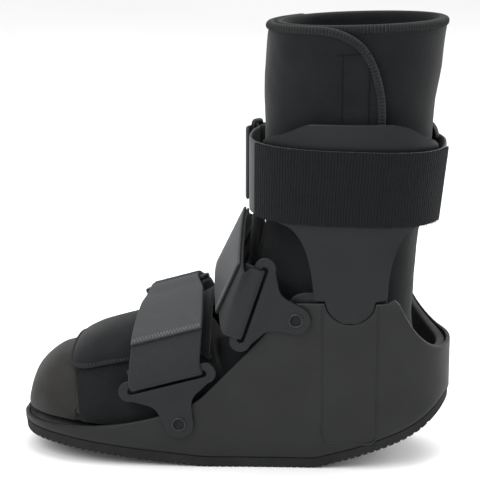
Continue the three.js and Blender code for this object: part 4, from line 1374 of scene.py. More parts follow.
@dataclass(frozen=True)
class Foamy:
    """Closed-cell foam or rubber with pores and dust."""

    name: str
    level: float
    pore: float
    roughness: float

    def build(self) -> Material:
        """Makes the material.

        Returns:
            The material.
        """
        sheet = NodeSheet(self.name, self.roughness, specular=0.15)
        base = sheet.ramp(sheet.noise(16, 4), 0.3, 0.7, grey(self.level * 0.8), grey(self.level * 1.2))
        dust = sheet.ramp(sheet.noise(3.5, 5), 0.58, 0.75, (0, 0, 0), (0.4, 0.4, 0.4))
        sheet.colour(sheet.mix(dust, base, grey(self.level * 2.0)))
        sheet.bumps((sheet.cells(self.pore), 0.3, 0.5), (sheet.noise(1.8, 3), 0.3, 0.35))
        return sheet.material


@dataclass(frozen=True)
class Finishes:
    """The boot's materials."""

    shell: Material = field(
        default_factory=Moulded("moulded_charcoal", level=0.0108, tint=0.04, roughness=0.55, grain=0.35).build
    )
    satin: Material = field(
        default_factory=Moulded("satin_charcoal", level=0.0066, tint=0.15, roughness=0.45, grain=0.2).build
    )
    rubber: Material = field(default_factory=Foamy("tread_rubber", level=0.0128, pore=1.2, roughness=0.85).build)
    foam: Material = field(default_factory=Foamy("lining_foam", level=0.04, pore=0.8, roughness=0.95).build)
    liner: Material = field(
        default_factory=Brushed("brushed_laminate", level=0.0092, tint=0.09, sheen=0.12, nap=0.8).build
    )
    toe: Material = field(default_factory=Brushed("toe_cloth", level=0.024, tint=-0.03, sheen=0.12, nap=0.6).build)
    web: Material = field(
        default_factory=Ribbed("ribbed_webbing", level=0.0158, tint=0.07, rib=1.3, pick=0.9, depth=0.2).build
    )
    tape: Material = field(
        default_factory=Ribbed(
            "smooth_tape", level=0.037, tint=0.07, rib=1.0, pick=0.9, depth=0.09, roughness=0.6
        ).build
    )
    pile: Material = field(
        default_factory=Ribbed(
            "hook_pile", level=0.0088, tint=0.1, rib=2.0, pick=1.3, depth=1.0, roughness=1.0, turned=True,
            drift=2.4, gloss=0.09,
        ).build
    )
    binding: Material = field(
        default_factory=Ribbed(
            "edge_binding", level=0.0095, tint=0.08, rib=1.2, pick=1.1, depth=0.3, roughness=0.9
        ).build
    )
    thread: Material = field(default_factory=Foamy("sewing_thread", level=0.12, pore=0.6, roughness=0.6).build)
    dark_thread: Material = field(default_factory=Foamy("liner_thread", level=0.004, pore=0.6, roughness=0.9).build)
    overlock: Material = field(default_factory=Foamy("overlock_thread", level=0.027, pore=0.6, roughness=0.8).build)
    rivet: Material = field(
        default_factory=Moulded("rivet_cap", level=0.009, tint=0.05, roughness=0.3, grain=0.1).build
    )


@dataclass
class Base:
    """The rocker shell with its tread, footbed and heel lining."""

    finishes: Finishes
    form: BootForm = FORM
    rim_round: float = 0.9
    groove_pitch: float = 4.4
    groove: float = 1.5
    groove_depth: float = 0.8
    lip_rise: float = 2.6
    rib_height: float = 0.5

    def stations(self, inset: float, end: int, extra: Iterable[float] = ()) -> list[float]:
        """Places along the boot, closer together where the plan rounds off.

        Args:
            inset: how far the ends are drawn in.
            end: number of steps at each end.
            extra: places that take over from the even ones where they lie.
        Returns:
            The places, in order.
        """
        form = self.form
        low, high = form.toe + inset, form.heel - inset
        toe_round, heel_round = (form.toe_round - inset) * 0.9, (form.heel_round - inset) * 0.9
        turns = [1 - cos(pi / 2 * i / end) for i in range(end + 1)]
        places = [low + toe_round * t for t in turns] + [high - heel_round * t for t in reversed(turns)]
        middle = steps(low + toe_round, high - heel_round, 52)[1:-1]
        extra = sorted(extra)
        if extra:
            middle = [x for x in middle if x < extra[0] - 1 or x > extra[-1] + 1] + list(extra)
        return sorted(places + middle)

    def profile(
        self, x: float, inset: float, floor: float, top: float, corner: float, count: int
    ) -> list[Pair]:
        """Half of a section, from its rim down to the middle of its floor.

        Args:
            x: place along the boot.
            inset: how far it is drawn in.
            floor: height of its floor.
            top: height of its rim.
            corner: radius between side and floor.
            count: number of steps up the side.
        Returns:
            Points as half width and height.
        """
        form = self.form
        top = max(top, floor + 1)
        turn = min(corner, (top - floor) * 0.95, form.shell_half(x, floor, inset) * 0.6)
        foot = form.shell_half(x, floor + turn, inset)
        high = form.shell_half(x, top, inset)
        side = [(lerp(high, foot, i / count), lerp(top, floor + turn, i / count)) for i in range(count + 1)]
        for step in (0.25, 0.5, 0.75, 1.0):
            a = pi / 2 * step
            side.append((foot - turn * (1 - cos(a)), floor + turn * (1 - sin(a))))
        return side + [((foot - turn) * k, floor) for k in (0.66, 0.33, 0.0)]

    @staticmethod
    def section(x: float, half: Sequence[Pair]) -> list[Vector]:
        """A whole section from half of one, from the near rim round to the far one."""
        near = [Vector((x, -y, z)) for y, z in half]
        return near + [Vector((x, y, z)) for y, z in reversed(half[:-1])]

    def notch(self, x: float) -> float:
        """Height of the seat cut for an upright's tab.

        Args:
            x: place along the boot.
        Returns:
            The height, or a great one away from the tab.
        """
        form = self.form
        radius = form.tab_radius + form.seam
        reach = abs(x - form.tab_centre)
        centre = form.shell_height - form.tab_depth + form.tab_radius
        return centre - sqrt(radius**2 - reach**2) if reach < radius else 1e3

    def shell(self) -> None:
        """Builds the moulded shell with its seats and rounded rim."""
        form = self.form
        cut = sqrt((form.tab_radius + form.seam) ** 2 - (form.tab_radius - form.tab_depth) ** 2)
        seat = [form.tab_centre + cut * sin(pi / 2 * t) for t in steps(-1, 1, 26)]
        outer_places = self.stations(0, 16, seat)
        inner_places = self.stations(form.shell_wall, 16, seat)
        rows = []
        for outside, inside in zip(outer_places, inner_places):
            top = min(form.rim(outside), self.notch(outside))
            rim = min(form.rim(inside), self.notch(inside))
            outer = self.profile(outside, 0, form.underside(outside), top, form.sole_corner, 14)
            corner = form.sole_corner - form.shell_wall
            inner = self.profile(inside, form.shell_wall, form.cavity_floor(inside), rim, corner, 14)
            rows.append(self.section(outside, outer) + self.section(inside, inner)[::-1])
        piece = Shaper.lattice("moulded_shell", rows, wrap=True)
        Shaper.close_fold(piece, len(rows), len(rows[0]))
        Shaper.bevel(piece, self.rim_round, 3, 62)
        Shaper.settle(piece, 50)
        dress(piece, self.finishes.shell, ["shell"])

    def ribs(self) -> None:
        """Builds the raised lines of the channel below each tab."""
        form = self.form
        reach = form.tab_radius + 1.5
        top = form.shell_height - 3
        low = form.underside(form.tab_centre) + form.sole_corner + 1
        corner = 6.0
        outline = [(-reach, z) for z in steps(top, low + corner, 14)]
        for step in steps(0, 1, 5)[1:]:
            a = pi / 2 * step
            outline.append((-reach + corner * (1 - cos(a)), low + corner * (1 - sin(a))))
        outline += [(-x, z) for x, z in reversed(outline)]
        path = []
        for i, (dx, z) in enumerate(outline):
            x = form.tab_centre + dx
            here = Vector((x, -form.shell_half(x, z), z))
            after = outline[min(i + 1, len(outline) - 1)]
            before = outline[max(i - 1, 0)]
            along = Vector((after[0] - before[0], 0, after[1] - before[1])).normalized()
            out = Vector((0, -1, 0))
            path.append(Frame(here, along.cross(out).normalized(), out, 0.6))
        height = self.rib_height
        shape = [(-0.8, -0.4), (0.8, -0.4), (0.75, 0.05), (0.35, height * 0.85)]
        shape += [(0, height), (-0.35, height * 0.85), (-0.75, 0.05)]
        near = Shaper.sweep("channel_rib_left", path, lambda _: shape)
        dress_pair(near, self.finishes.shell)

    def lip(self, x: float, side: float) -> list[Pair]:
        """The outsole's top, which follows the shell's rounded corner up to a thin edge.

        Args:
            x: place along the boot.
            side: half width of the outsole there.
        Returns:
            Points from under the shell out to the edge.
        """
        form = self.form
        floor = form.underside(x)
        turn = min(form.sole_corner, (form.rim(x) - floor) * 0.95, form.shell_half(x, floor) * 0.6)
        middle, height = form.shell_half(x, floor + turn) - turn, floor + turn
        rise = min(self.lip_rise, turn * 0.45)
        last = acos((turn - rise) / (turn + form.seam))
        points = []
        for t in steps(0, 1, 4):
            radius = turn + form.seam * 0.8
            points.append((middle + radius * sin(last * t), height - radius * cos(last * t)))
        return [*points, (max(points[-1][0] + 0.35, side), points[-1][1] - 0.15)]

    def tread(self) -> None:
        """Builds the outsole with its fine cross grooves."""
        form = self.form
        inset = form.outsole_inset
        low, high = form.toe + inset + 14, form.heel - inset - 8
        grooves = [low + i * self.groove_pitch for i in range(int((high - low) / self.groove_pitch))]
        edge = 0.25
        inside = [g + d for g in grooves for d in (0, edge, self.groove - edge, self.groove)]
        ends = [x for x in self.stations(inset, 14) if x < low - edge or x > grooves[-1] + self.groove + edge]
        places = sorted(ends + inside)
        deep = {round(g + d, 4) for g in grooves for d in (edge, self.groove - edge)}
        rows = []
        for x in places:
            up = self.groove_depth if round(x, 4) in deep else 0.0
            floor = form.rocker(x) + up
            top = form.rocker(x) + form.outsole
            side = self.profile(x, inset, floor, top, 1.0, 3)
            rows.append(self.section(x, [*self.lip(x, side[0][0]), *side[1:]]))
        piece = Shaper.lattice("rocker_tread", rows, wrap=True, caps=True)
        piece.data.set_sharp_from_angle(angle=radians(35))
        dress(piece, self.finishes.rubber, ["outsole"])

    def bed(self) -> None:
        """Builds the foam footbed."""
        form = self.form
        inset = form.shell_wall + form.seam
        places = self.stations(inset, 12)
        rows = []
        for x in places:
            floor = form.cavity_floor(x) + form.seam
            half = self.profile(x, inset, floor, floor + form.footbed, form.sole_corner - form.shell_wall, 2)
            rim = [(half[0][0] - 1.2, half[0][1]), *half]
            rim[1] = (half[0][0], half[0][1] - 0.9)
            rows.append(self.section(x, rim))
        piece = Shaper.lattice("foam_footbed", rows, wrap=True, caps=True)
        piece.data.set_sharp_from_angle(angle=radians(50))
        dress(piece, self.finishes.foam, ["footbed"])

    def heel_lining(self) -> None:
        """Builds the foam that lines the heel cup."""
        form = self.form
        inset = form.shell_wall + form.seam + form.heel_pad / 2
        start = form.heel - form.heel_pad_reach
        outer = form.heel - inset
        wrap_steps = 56
        rows = []
        for z_step in steps(0, 1, 12):
            row = []
            for i in range(wrap_steps + 1):
                turn = pi * (i / wrap_steps) - pi / 2
                x = lerp(start + 1.5, outer, signed_power(cos(turn), 0.62))
                bottom = form.cavity_floor(x) + form.footbed + 2 * form.seam + 0.5
                z = lerp(bottom, form.rim(x) - form.heel_pad_drop, z_step)
                y = form.shell_half(x, z, inset) if abs(turn) > 1e-6 else 0.0
                row.append(Vector((x, copysign(y, turn) if y else 0.0, z)))
            rows.append(row)
        piece = Shaper.lattice("heel_lining", rows, flip=True)
        Shaper.thicken(piece, form.heel_pad - 0.8, 0)
        Shaper.bevel(piece, 1.6, 3, 50)
        Shaper.settle(piece)
        dress(piece, self.finishes.foam, ["heel_pad"])

    def build(self) -> None:
        """Builds and dresses every piece of the base."""
        self.shell()
        self.ribs()
        self.tread()
        self.bed()
        self.heel_lining()


@dataclass
class Uprights:
    """The moulded side uprights with their tab, neck, wing and inner flange."""

    finishes: Finishes
    form: BootForm = FORM
    columns: int = 40
    edge_round: float = 0.9

    def outline(self) -> list[Pair]:
        """The blade's outline above its seat.

        Returns:
            Points as x and height, from the rear foot of the neck over the top to the front one.
        """
        form = self.form
        front, rear = form.wing_centre - form.wing_length / 2, form.wing_centre + form.wing_length / 2
        neck, flat, turn, flare = form.neck_width / 2, form.wing_top_length / 2, 9.0, 19.0
        seat, low, top, shoulder = form.shell_height + form.seam, form.wing_bottom, form.wing_top, form.wing_shoulder
        tab = form.tab_centre
        points: list[Pair] = []

        def bezier(*controls: Pair) -> None:
            """Adds a curve of three or four control points."""
            degree = len(controls) - 1
            for i in range(1, 17):
                t = i / 16
                weights = [comb(degree, k) * (1 - t) ** (degree - k) * t**k for k in range(degree + 1)]
                points.append(tuple(sum(w * c[k] for w, c in zip(weights, controls)) for k in (0, 1)))

        for side, edge in ((1, rear), (-1, front)):
            points, kept = [], points
            foot = (tab + side * neck, seat + (form.seat_rise if side > 0 else 0))
            inner = edge - side * form.wing_taper
            points.append(foot)
            bezier(
                foot,
                (tab + side * (neck + 1), lerp(seat, low, 0.5)),
                (tab + side * (neck + flare / 3), lerp(seat, low, 0.9)),
                (tab + side * (neck + flare), low),
            )
            bezier((tab + side * (neck + flare), low), (inner, low + 1), (inner, low + turn))
            points.append((edge, shoulder - turn))
            bezier((edge, shoulder - turn), (edge, shoulder), (edge - side * turn, shoulder + 2))
            high = 20 if side > 0 else (tab - flat) - (edge + turn) - 14
            bezier(
                (edge - side * turn, shoulder + 2),
                (tab + side * (flat + high), top - 6),
                (tab + side * (flat + 8), top),
                (tab + side * flat, top),
            )
            points = kept + (points if side > 0 else points[::-1])
        return points

    def spans(self) -> list[tuple[float, float, float]]:
        """The blade's rows, from the tab's foot to the wing's top.

        Returns:
            Each row's height, front x and rear x.
        """
        form = self.form
        outline = self.outline()
        centre = form.shell_height - form.tab_depth + form.tab_radius
        rows = []
        for t in steps(0.03, 1, 16):
            drop = form.tab_radius * cos(pi / 2 * t)
            z = centre - drop
            if z > form.shell_height:
                break
            reach = sqrt(form.tab_radius**2 - drop**2)
            rows.append((z, form.tab_centre - reach, form.tab_centre + reach))
        seat = form.shell_height + form.seam
        rows.append((seat - 0.02, form.tab_centre - form.tab_radius, form.tab_centre + form.tab_radius))
        heights = [seat + 0.02, seat + 0.7, seat + 1.4, seat + form.seat_rise]
        heights += steps(seat + 4, form.wing_bottom - 4, 12)
        heights += [form.wing_bottom + d for d in (-2.5, -1.5, -0.8, -0.3, 0.05, 0.3, 0.8, 1.6, 3, 5, 7, 9)]
        heights += steps(form.wing_bottom + 13, form.wing_shoulder - 9, 9)
        heights += steps(form.wing_shoulder - 7.5, form.wing_top - 0.05, 22)
        for z in heights:
            crossings = []
            for (x0, z0), (x1, z1) in zip(outline, outline[1:]):
                if (z0 - z) * (z1 - z) <= 0 and abs(z1 - z0) > 1e-9:
                    crossings.append(lerp(x0, x1, (z - z0) / (z1 - z0)))
            left, right = min(crossings), max(crossings)
            if z < seat + form.seat_rise:
                left = form.tab_centre - form.neck_width / 2
                right = form.tab_centre + lerp(form.tab_radius, form.neck_width / 2, (z - seat) / form.seat_rise)
            rows.append((z, left, right))
        return rows

    def blade(self) -> Object:
        """The near upright's tab, neck and wing.

        Returns:
            The piece.
        """
        rows = []
        for z, left, right in self.spans():
            places = [lerp(left, right, 0.5 - 0.5 * cos(pi * t)) for t in steps(0, 1, self.columns)]
            rows.append([Vector((x, -self.form.upright_half(x, z), z)) for x in places])
        piece = Shaper.lattice("upright_blade", rows)
        Shaper.thicken(piece, self.form.upright_wall)
        Shaper.bevel(piece, self.edge_round, 3, 50)
        return Shaper.settle(piece, 55)

    def flange(self) -> Object:
        """The near upright's inner flange, behind the shell's wall.

        Returns:
            The piece.
        """
        form = self.form
        front, rear = form.tab_centre - 42, form.tab_centre + 24
        low, high, turn = form.shell_height - 1.6 * form.tab_depth, form.shell_height + 5, 12.0
        inward = -form.shell_wall - form.seam
        rows = []
        for z in steps(low, high, 18):
            nearest = min(z - low, high - z)
            draw = turn * (1 - quarter(min(nearest / turn, 1)))
            rows.append([Vector((x, -form.upright_half(x, z, inward), z)) for x in steps(front + draw, rear, 24)])
        piece = Shaper.lattice("upright_flange", rows)
        Shaper.thicken(piece, form.flange_wall)
        Shaper.bevel(piece, 0.7, 2, 50)
        return Shaper.settle(piece, 55)

    def build(self) -> None:
        """Builds and dresses both uprights."""
        near = Shaper.join("moulded_upright_left", [self.blade(), self.flange()])
        dress_pair(near, self.finishes.satin, "upright")


@dataclass
class Plates:
    """The slotted strap plates with their rivets."""

    finishes: Finishes
    form: BootForm = FORM
    edge: float = 0.7
    rivet_hole: float = 3.9
    rivet_sides: int = 32
    # radius and height of the rivet cap's rings, from the dish out to its rim and back under the plate
    rivet_rings: tuple[Pair, ...] = (
        (0, -1.3), (1.6, -1.25), (2.6, -1.05), (3.2, -0.6), (3.5, 0.2), (3.8, 0.7), (4.3, 0.85), (4.8, 0.65),
        (5.1, 0.3), (5.1, 0), (3.7, -0.05), (3.7, -2.5),
    )

    @staticmethod
    def arc(centre: Pair, radius: float, start: float, end: float, count: int) -> list[Pair]:
        """Points on an arc, with its angles in degrees."""
        turns = [radians(a) for a in steps(start, end, count)]
        return [(centre[0] + radius * cos(a), centre[1] + radius * sin(a)) for a in turns]

    def outlines(self) -> list[list[Pair]]:
        """The plate's drawing, with its rivet at the origin and its slot level above it.

        Returns:
            The outline, the slot and the rivet's hole.
        """
        form = self.form
        slot_half = form.strap_width / 2 + form.slot_gap
        half = slot_half + form.plate_lobe
        low = form.plate_reach - form.plate_slot / 2 - form.plate_rail
        high = form.plate_reach + form.plate_slot / 2 + form.plate_rail
        turn = (high - low) / 2
        neck = form.plate_boss + 4
        web = low - form.plate_web
        middle = (low + high) / 2
        start, pull, stop = (neck - 2.8, web - 8), (neck - 2.2, web + 0.6), (neck + 5, web + 3.6)
        fillet = [
            tuple((1 - t) ** 2 * a + 2 * t * (1 - t) * b + t * t * c for a, b, c in zip(start, pull, stop))
            for t in steps(0, 1, 8)
        ]
        plate = self.arc((0, 0), form.plate_boss, 180, 360, 24)
        plate += fillet
        plate += self.arc((half - turn, middle), turn, -90, 90, 14)
        plate += self.arc((turn - half, middle), turn, 90, 270, 14)
        plate += [(-x, y) for x, y in reversed(fillet)]
        round_end = form.plate_slot / 2
        reach = slot_half - round_end
        slot = self.arc((reach, form.plate_reach), round_end, -90, 90, 10)
        slot += self.arc((-reach, form.plate_reach), round_end, 90, 270, 10)
        return [plate, slot, self.arc((0, 0), self.rivet_hole, 0, 348, 29)]

    def plate(self, strap: FootStrap) -> Object:
        """A near plate with bevelled edges.

        Args:
            strap: the strap that it holds.
        Returns:
            The piece.
        """
        form = self.form
        curve = bpy.data.curves.new("plate_outline", "CURVE")
        curve.dimensions = "2D"
        curve.fill_mode = "BOTH"
        for outline in self.outlines():
            spline = curve.splines.new("POLY")
            spline.points.add(len(outline) - 1)
            for point, (x, y) in zip(spline.points, outline):
                point.co = (x * MM, y * MM, 0, 1)
            spline.use_cyclic_u = True
        curve.extrude = (form.plate / 2 - self.edge) * MM
        curve.bevel_depth = self.edge * MM
        curve.bevel_resolution = 2
        curve.offset = -self.edge * MM
        drawn = linked("plate_drawn", curve)
        graph = bpy.context.evaluated_depsgraph_get()
        mesh = bpy.data.meshes.new_from_object(drawn.evaluated_get(graph))
        bpy.data.objects.remove(drawn)
        origin = form.plate_point(strap, 0, 0)
        along = (form.plate_point(strap, 1, 0) - origin).normalized()
        up = (form.plate_point(strap, 0, 1) - origin).normalized()
        out = along.cross(up).normalized()
        basis = Matrix((along, up, out)).transposed().to_4x4()
        mesh.transform(Matrix.Translation(origin * MM) @ basis)
        if out.y > 0:
            mesh.flip_normals()
        name = f"slot_plate_{strap.name}_left"
        mesh.name = name
        mesh.shade_smooth()
        mesh.set_sharp_from_angle(angle=radians(35))
        return linked(name, mesh)

    def rivet(self, strap: FootStrap) -> Object:
        """A near rivet: a domed cap with a dished middle.

        Args:
            strap: the strap whose plate it holds.
        Returns:
            The piece, with the dish in the second finish as painted shade in its hollow.
        """
        form = self.form
        rx, rz = strap.rivet
        seat = form.plate_half(strap, rx) + form.plate / 2 + 0.1
        rows = []
        for radius, height in self.rivet_rings:
            ring = self.arc((rx, rz), max(radius, 0.02), 0, 360, self.rivet_sides)[:-1]
            rows.append([Vector((x, -(seat + height), z)) for x, z in ring])
        piece = Shaper.lattice(f"rivet_cap_{strap.name}_left", rows, wrap=True, caps=True, flip=True)
        # The dish's faces and its middle cap take the second finish: painted shade in the hollow.
        shaded_dish_faces, first_cap = self.rivet_sides * 3, len(piece.data.polygons) - 2
        two_finishes(piece, lambda k: k < shaded_dish_faces or k == first_cap)
        piece.data.set_sharp_from_angle(angle=radians(45))
        return piece

    def build(self) -> None:
        """Builds and dresses the plates and rivets of both foot straps."""
        for strap in (FOREFOOT, INSTEP):
            plate, rivet = self.plate(strap), self.rivet(strap)
            dress_pair(plate, self.finishes.satin, f"{strap.name}_plate")
            # The tread rubber on the rivets' dishes is painted shade in their hollows.
            dress_pair(rivet, [self.finishes.rivet, self.finishes.rubber], f"{strap.name}_rivet")


@dataclass
class Straps:
    """The webbing straps, their rings and the calf strap's pile band."""

    finishes: Finishes
    form: BootForm = FORM
    ring_angle: float = -24
    ring_pinch: float = 1.4
    tail_angle: float = 84
    band_front: float = 34
    band_back: float = 168
    stitch_pitch: float = 1.1
    stitch_depth: float = 3.1
    thread: float = 0.2

    @staticmethod
    def wrap(at: Frame, centre: Vector, start: Vector, through: Vector, radius: float) -> list[Frame]:
        """Half a turn round a bar or rail.

        Args:
            at: frame that gives the way across and the half width.
            centre: middle of the bar.
            start: way from the bar at which the turn starts.
            through: way from the bar at its middle.
            radius: radius of the strap's middle.
        Returns:
            The frames, with normals away from the bar.
        """
        made = []
        for a in steps(0, pi, 12):
            out = start * cos(a) + through * sin(a)
            made.append(Frame(centre + out * radius, at.across, out, at.half))
        return made

    def round_bar(self, ring: Frame, side: Side) -> list[Frame]:
        """Half a turn round a ring's bar, from under it, through the ring and over it.

        Args:
            ring: the ring's frame.
            side: the side on which the bar lies.
        Returns:
            The frames, with normals towards the bar.
        """
        bar = ring.centre + ring.along * (-side.value * self.form.bar_reach)
        turn = self.wrap(ring, bar, -ring.normal, ring.along * side.value, self.form.ring_wrap)
        return [f.flipped() for f in turn]

    def foot_path(self, strap: FootStrap, side: Side, tail: float) -> tuple[list[Frame], int]:
        """A foot strap's frames from its plate's rail to its ring and back.

        Args:
            strap: the strap.
            side: the side of its plate.
            tail: share of the way back that the free end reaches.
        Returns:
            The frames, and the number of the first one of the layer that comes back.
        """
        form = self.form
        ring = form.arch(strap, strap.ring)
        start = 0.0 if side is Side.NEAR else 1.0
        end = strap.ring - side.value * form.bar_reach / ring.speed
        beside = end - side.value * form.ring_bar / ring.speed

        def layer(t: float, face: int) -> Frame:
            """One layer's frame."""
            at = form.arch(strap, t)
            away = abs(t - end) * ring.speed
            gap = lerp(form.ring_wrap, form.layer_step, smoothstep(away, form.ring_bar, form.settle))
            return at.moved(face * gap, -face)

        foot, up, across, out = (Vector((v.x, v.y * side.value, v.z)) for v in form.rail(strap)[1:])
        half = form.strap_width / 2
        hooked = Frame(foot, across, out, half)
        hook = self.wrap(hooked, foot, -out, -up, form.rail_wrap)
        tip = Frame(hook[0].centre + up * form.hook_tail, across, hook[0].normal, half)
        count = max(8, round(abs(end - start) * 90))
        base = [layer(t, -1) for t in steps(start, beside, count)]
        back = [layer(t, 1) for t in steps(beside, lerp(end, start, tail), max(6, round(count * tail)))]
        path = [tip, *hook, *base, *self.round_bar(ring, side)]
        return path + back, len(path)

    def ring(self, name: str, at: Frame, half: float) -> Object:
        """A rectangular ring of rounded bar.

        Args:
            name: the piece's name.
            at: the ring's frame.
            half: half of the room that it leaves for the strap.
        Returns:
            The ring.
        """
        form = self.form
        wide, deep = half + 1 + form.ring_bar / 2, form.ring_opening / 2 + form.ring_bar / 2
        turn = 2.6
        path = []
        for cx, cy, first in ((1, 1, 0), (-1, 1, 90), (-1, -1, 180), (1, -1, 270)):
            for a in steps(first, first + 90, 6):
                r = radians(a)
                way = at.across * cos(r) + at.along * sin(r)
                centre = at.centre + at.across * (cx * (wide - turn)) + at.along * (cy * (deep - turn)) + way * turn
                path.append(Frame(centre, way, at.normal, 0))
        size = form.ring_bar / 2
        shape = [
            (size * signed_power(cos(a), 0.55), size * signed_power(sin(a), 0.55))
            for a in (tau * k / 14 for k in range(14))
        ]
        piece = Shaper.sweep(name, path, lambda _: shape, loop=True)
        piece.data.set_sharp_from_angle(angle=radians(60))
        return piece

    def ribbon(self, name: str, path: Sequence[Frame], split: int | None = None) -> Object:
        """A strap through frames.

        Args:
            name: the piece's name.
            path: the frames.
            split: the frame from which on it takes the second finish, if any.
        Returns:
            The strap.
        """
        piece = Shaper.sweep(name, path, web_profile)
        if split is not None:
            width = len(web_profile(path[0]))
            two_finishes(piece, lambda k: split <= k // width < len(path) - 1)
        return piece

    def zigzag(self, name: str, edge: Frame, inside: Frame) -> Object:
        """A zigzag seam along a strap's cut end.

        Args:
            name: the new object's name.
            edge: the frame at the end.
            inside: a frame further in.
        Returns:
            The seam.
        """
        inward = (inside.centre - edge.centre).normalized()
        out = -edge.normal
        if out.dot(edge.centre - Vector((edge.centre.x, 0, 40))) < 0:
            out = edge.normal
        count = round(2 * (edge.half - 1) / self.stitch_pitch)
        surface = edge.centre + out * (self.form.strap / 2)
        corners = []
        for i, s in enumerate(steps(1 - edge.half, edge.half - 1, count)):
            corners.append(surface + edge.across * s + inward * (1.0 + (self.stitch_depth if i % 2 else 0)))
        return Shaper.threads(name, [(a, b, out) for a, b in zip(corners, corners[1:])], self.thread)

    def fringe(self, name: str, band: Sequence[Frame]) -> Object:
        """Loose fibres round the pile band's edges.

        Args:
            name: the new object's name.
            band: the band's frames.
        Returns:
            The fibres.
        """
        seeded = random.Random(11)
        fibres = []
        for at in Shaper.spaced(band, 0.55):
            for side in (-1, 1):
                root = at.centre + at.across * (side * (at.half - 0.2)) + at.normal * seeded.uniform(-0.2, 0.9)
                lean = at.across * side + at.along * seeded.uniform(-0.8, 0.8) + at.normal * seeded.uniform(-0.1, 0.5)
                fibres.append((root, root + lean.normalized() * seeded.uniform(0.4, 1.2), at.normal))
        last = band[-1]
        for _ in range(110):
            root = last.centre + last.across * seeded.uniform(-last.half, last.half)
            lean = last.along + last.across * seeded.uniform(-0.7, 0.7) + last.normal * seeded.uniform(-0.3, 0.5)
            fibres.append((root, root + lean.normalized() * seeded.uniform(0.6, 2.2), last.normal))
        return Shaper.threads(name, fibres, 0.13)

    def feet(self) -> None:
        """Builds both foot straps with their anchors and rings."""
        look = [self.finishes.web, self.finishes.tape]
        for strap in (FOREFOOT, INSTEP):
            for side, tail, label in ((Side.NEAR, strap.tail, "strap"), (Side.FAR, 0.5, "anchor")):
                path, split = self.foot_path(strap, side, tail)
                piece = self.ribbon(f"webbing_{strap.name}_{label}", path, split)
                dress(piece, look, [f"{strap.name}_{label}"])
                sewn = self.zigzag(f"zigzag_{strap.name}_{label}", path[-1], path[-4])
                dress(sewn, self.finishes.thread)
            room = self.form.pinched / 2 - self.ring_pinch
            ring = self.ring(f"strap_ring_{strap.name}", self.form.arch(strap, strap.ring), room)
            dress(ring, self.finishes.satin, [f"{strap.name}_ring"])

    def calf(self) -> None:
        """Builds the calf strap, its ring and its pile band."""
        form = self.form
        seat = form.strap_seat + form.strap / 2
        ring_angle = radians(self.ring_angle)
        ring = form.calf(ring_angle, seat + form.ring_wrap)
        reach = form.bar_reach / ring.speed
        first, last = ring_angle + reach, ring_angle + tau - reach
        beside = form.ring_bar / ring.speed

        def over(angle: float) -> Frame:
            """The outer layer's frame."""
            away = min(angle - first, last - angle) * ring.speed
            above = 2 * lerp(form.ring_wrap, form.layer_step, smoothstep(away, form.ring_bar, form.settle))
            return form.calf(angle, seat + above).flipped()

        sewn = [over(a) for a in steps(first + form.hook_tail / ring.speed, first + beside, 4)]
        base = [form.calf(a, seat) for a in steps(first + beside, last - beside, 150)]
        free = [over(a) for a in steps(last - beside, last - radians(self.tail_angle), 40)]
        near, far = self.round_bar(ring, Side.FAR), self.round_bar(ring, Side.NEAR)
        path = [*sewn, *reversed(near), *base, *far, *free]
        piece = self.ribbon("webbing_calf_strap", path)
        dress(piece, self.finishes.tape, ["calf_strap"])
        seam = self.zigzag("zigzag_calf_strap", free[-1], free[-4])
        dress(seam, self.finishes.thread)
        buckle = self.ring("strap_ring_calf", ring, form.strap_width / 2)
        dress(buckle, self.finishes.satin, ["calf_ring"])
        band_seat = seat + form.strap + form.strap_gap
        front, back = radians(self.band_front), radians(self.band_back)
        band = [form.calf(a, band_seat) for a in steps(front, back, 110)]
        pile = self.ribbon("pile_band", band)
        dress(pile, self.finishes.pile, ["calf_band"])
        fringe = self.fringe("pile_fringe", band)
        dress(fringe, self.finishes.pile)

    def build(self) -> None:
        """Builds and dresses the straps."""
        self.feet()
        self.calf()


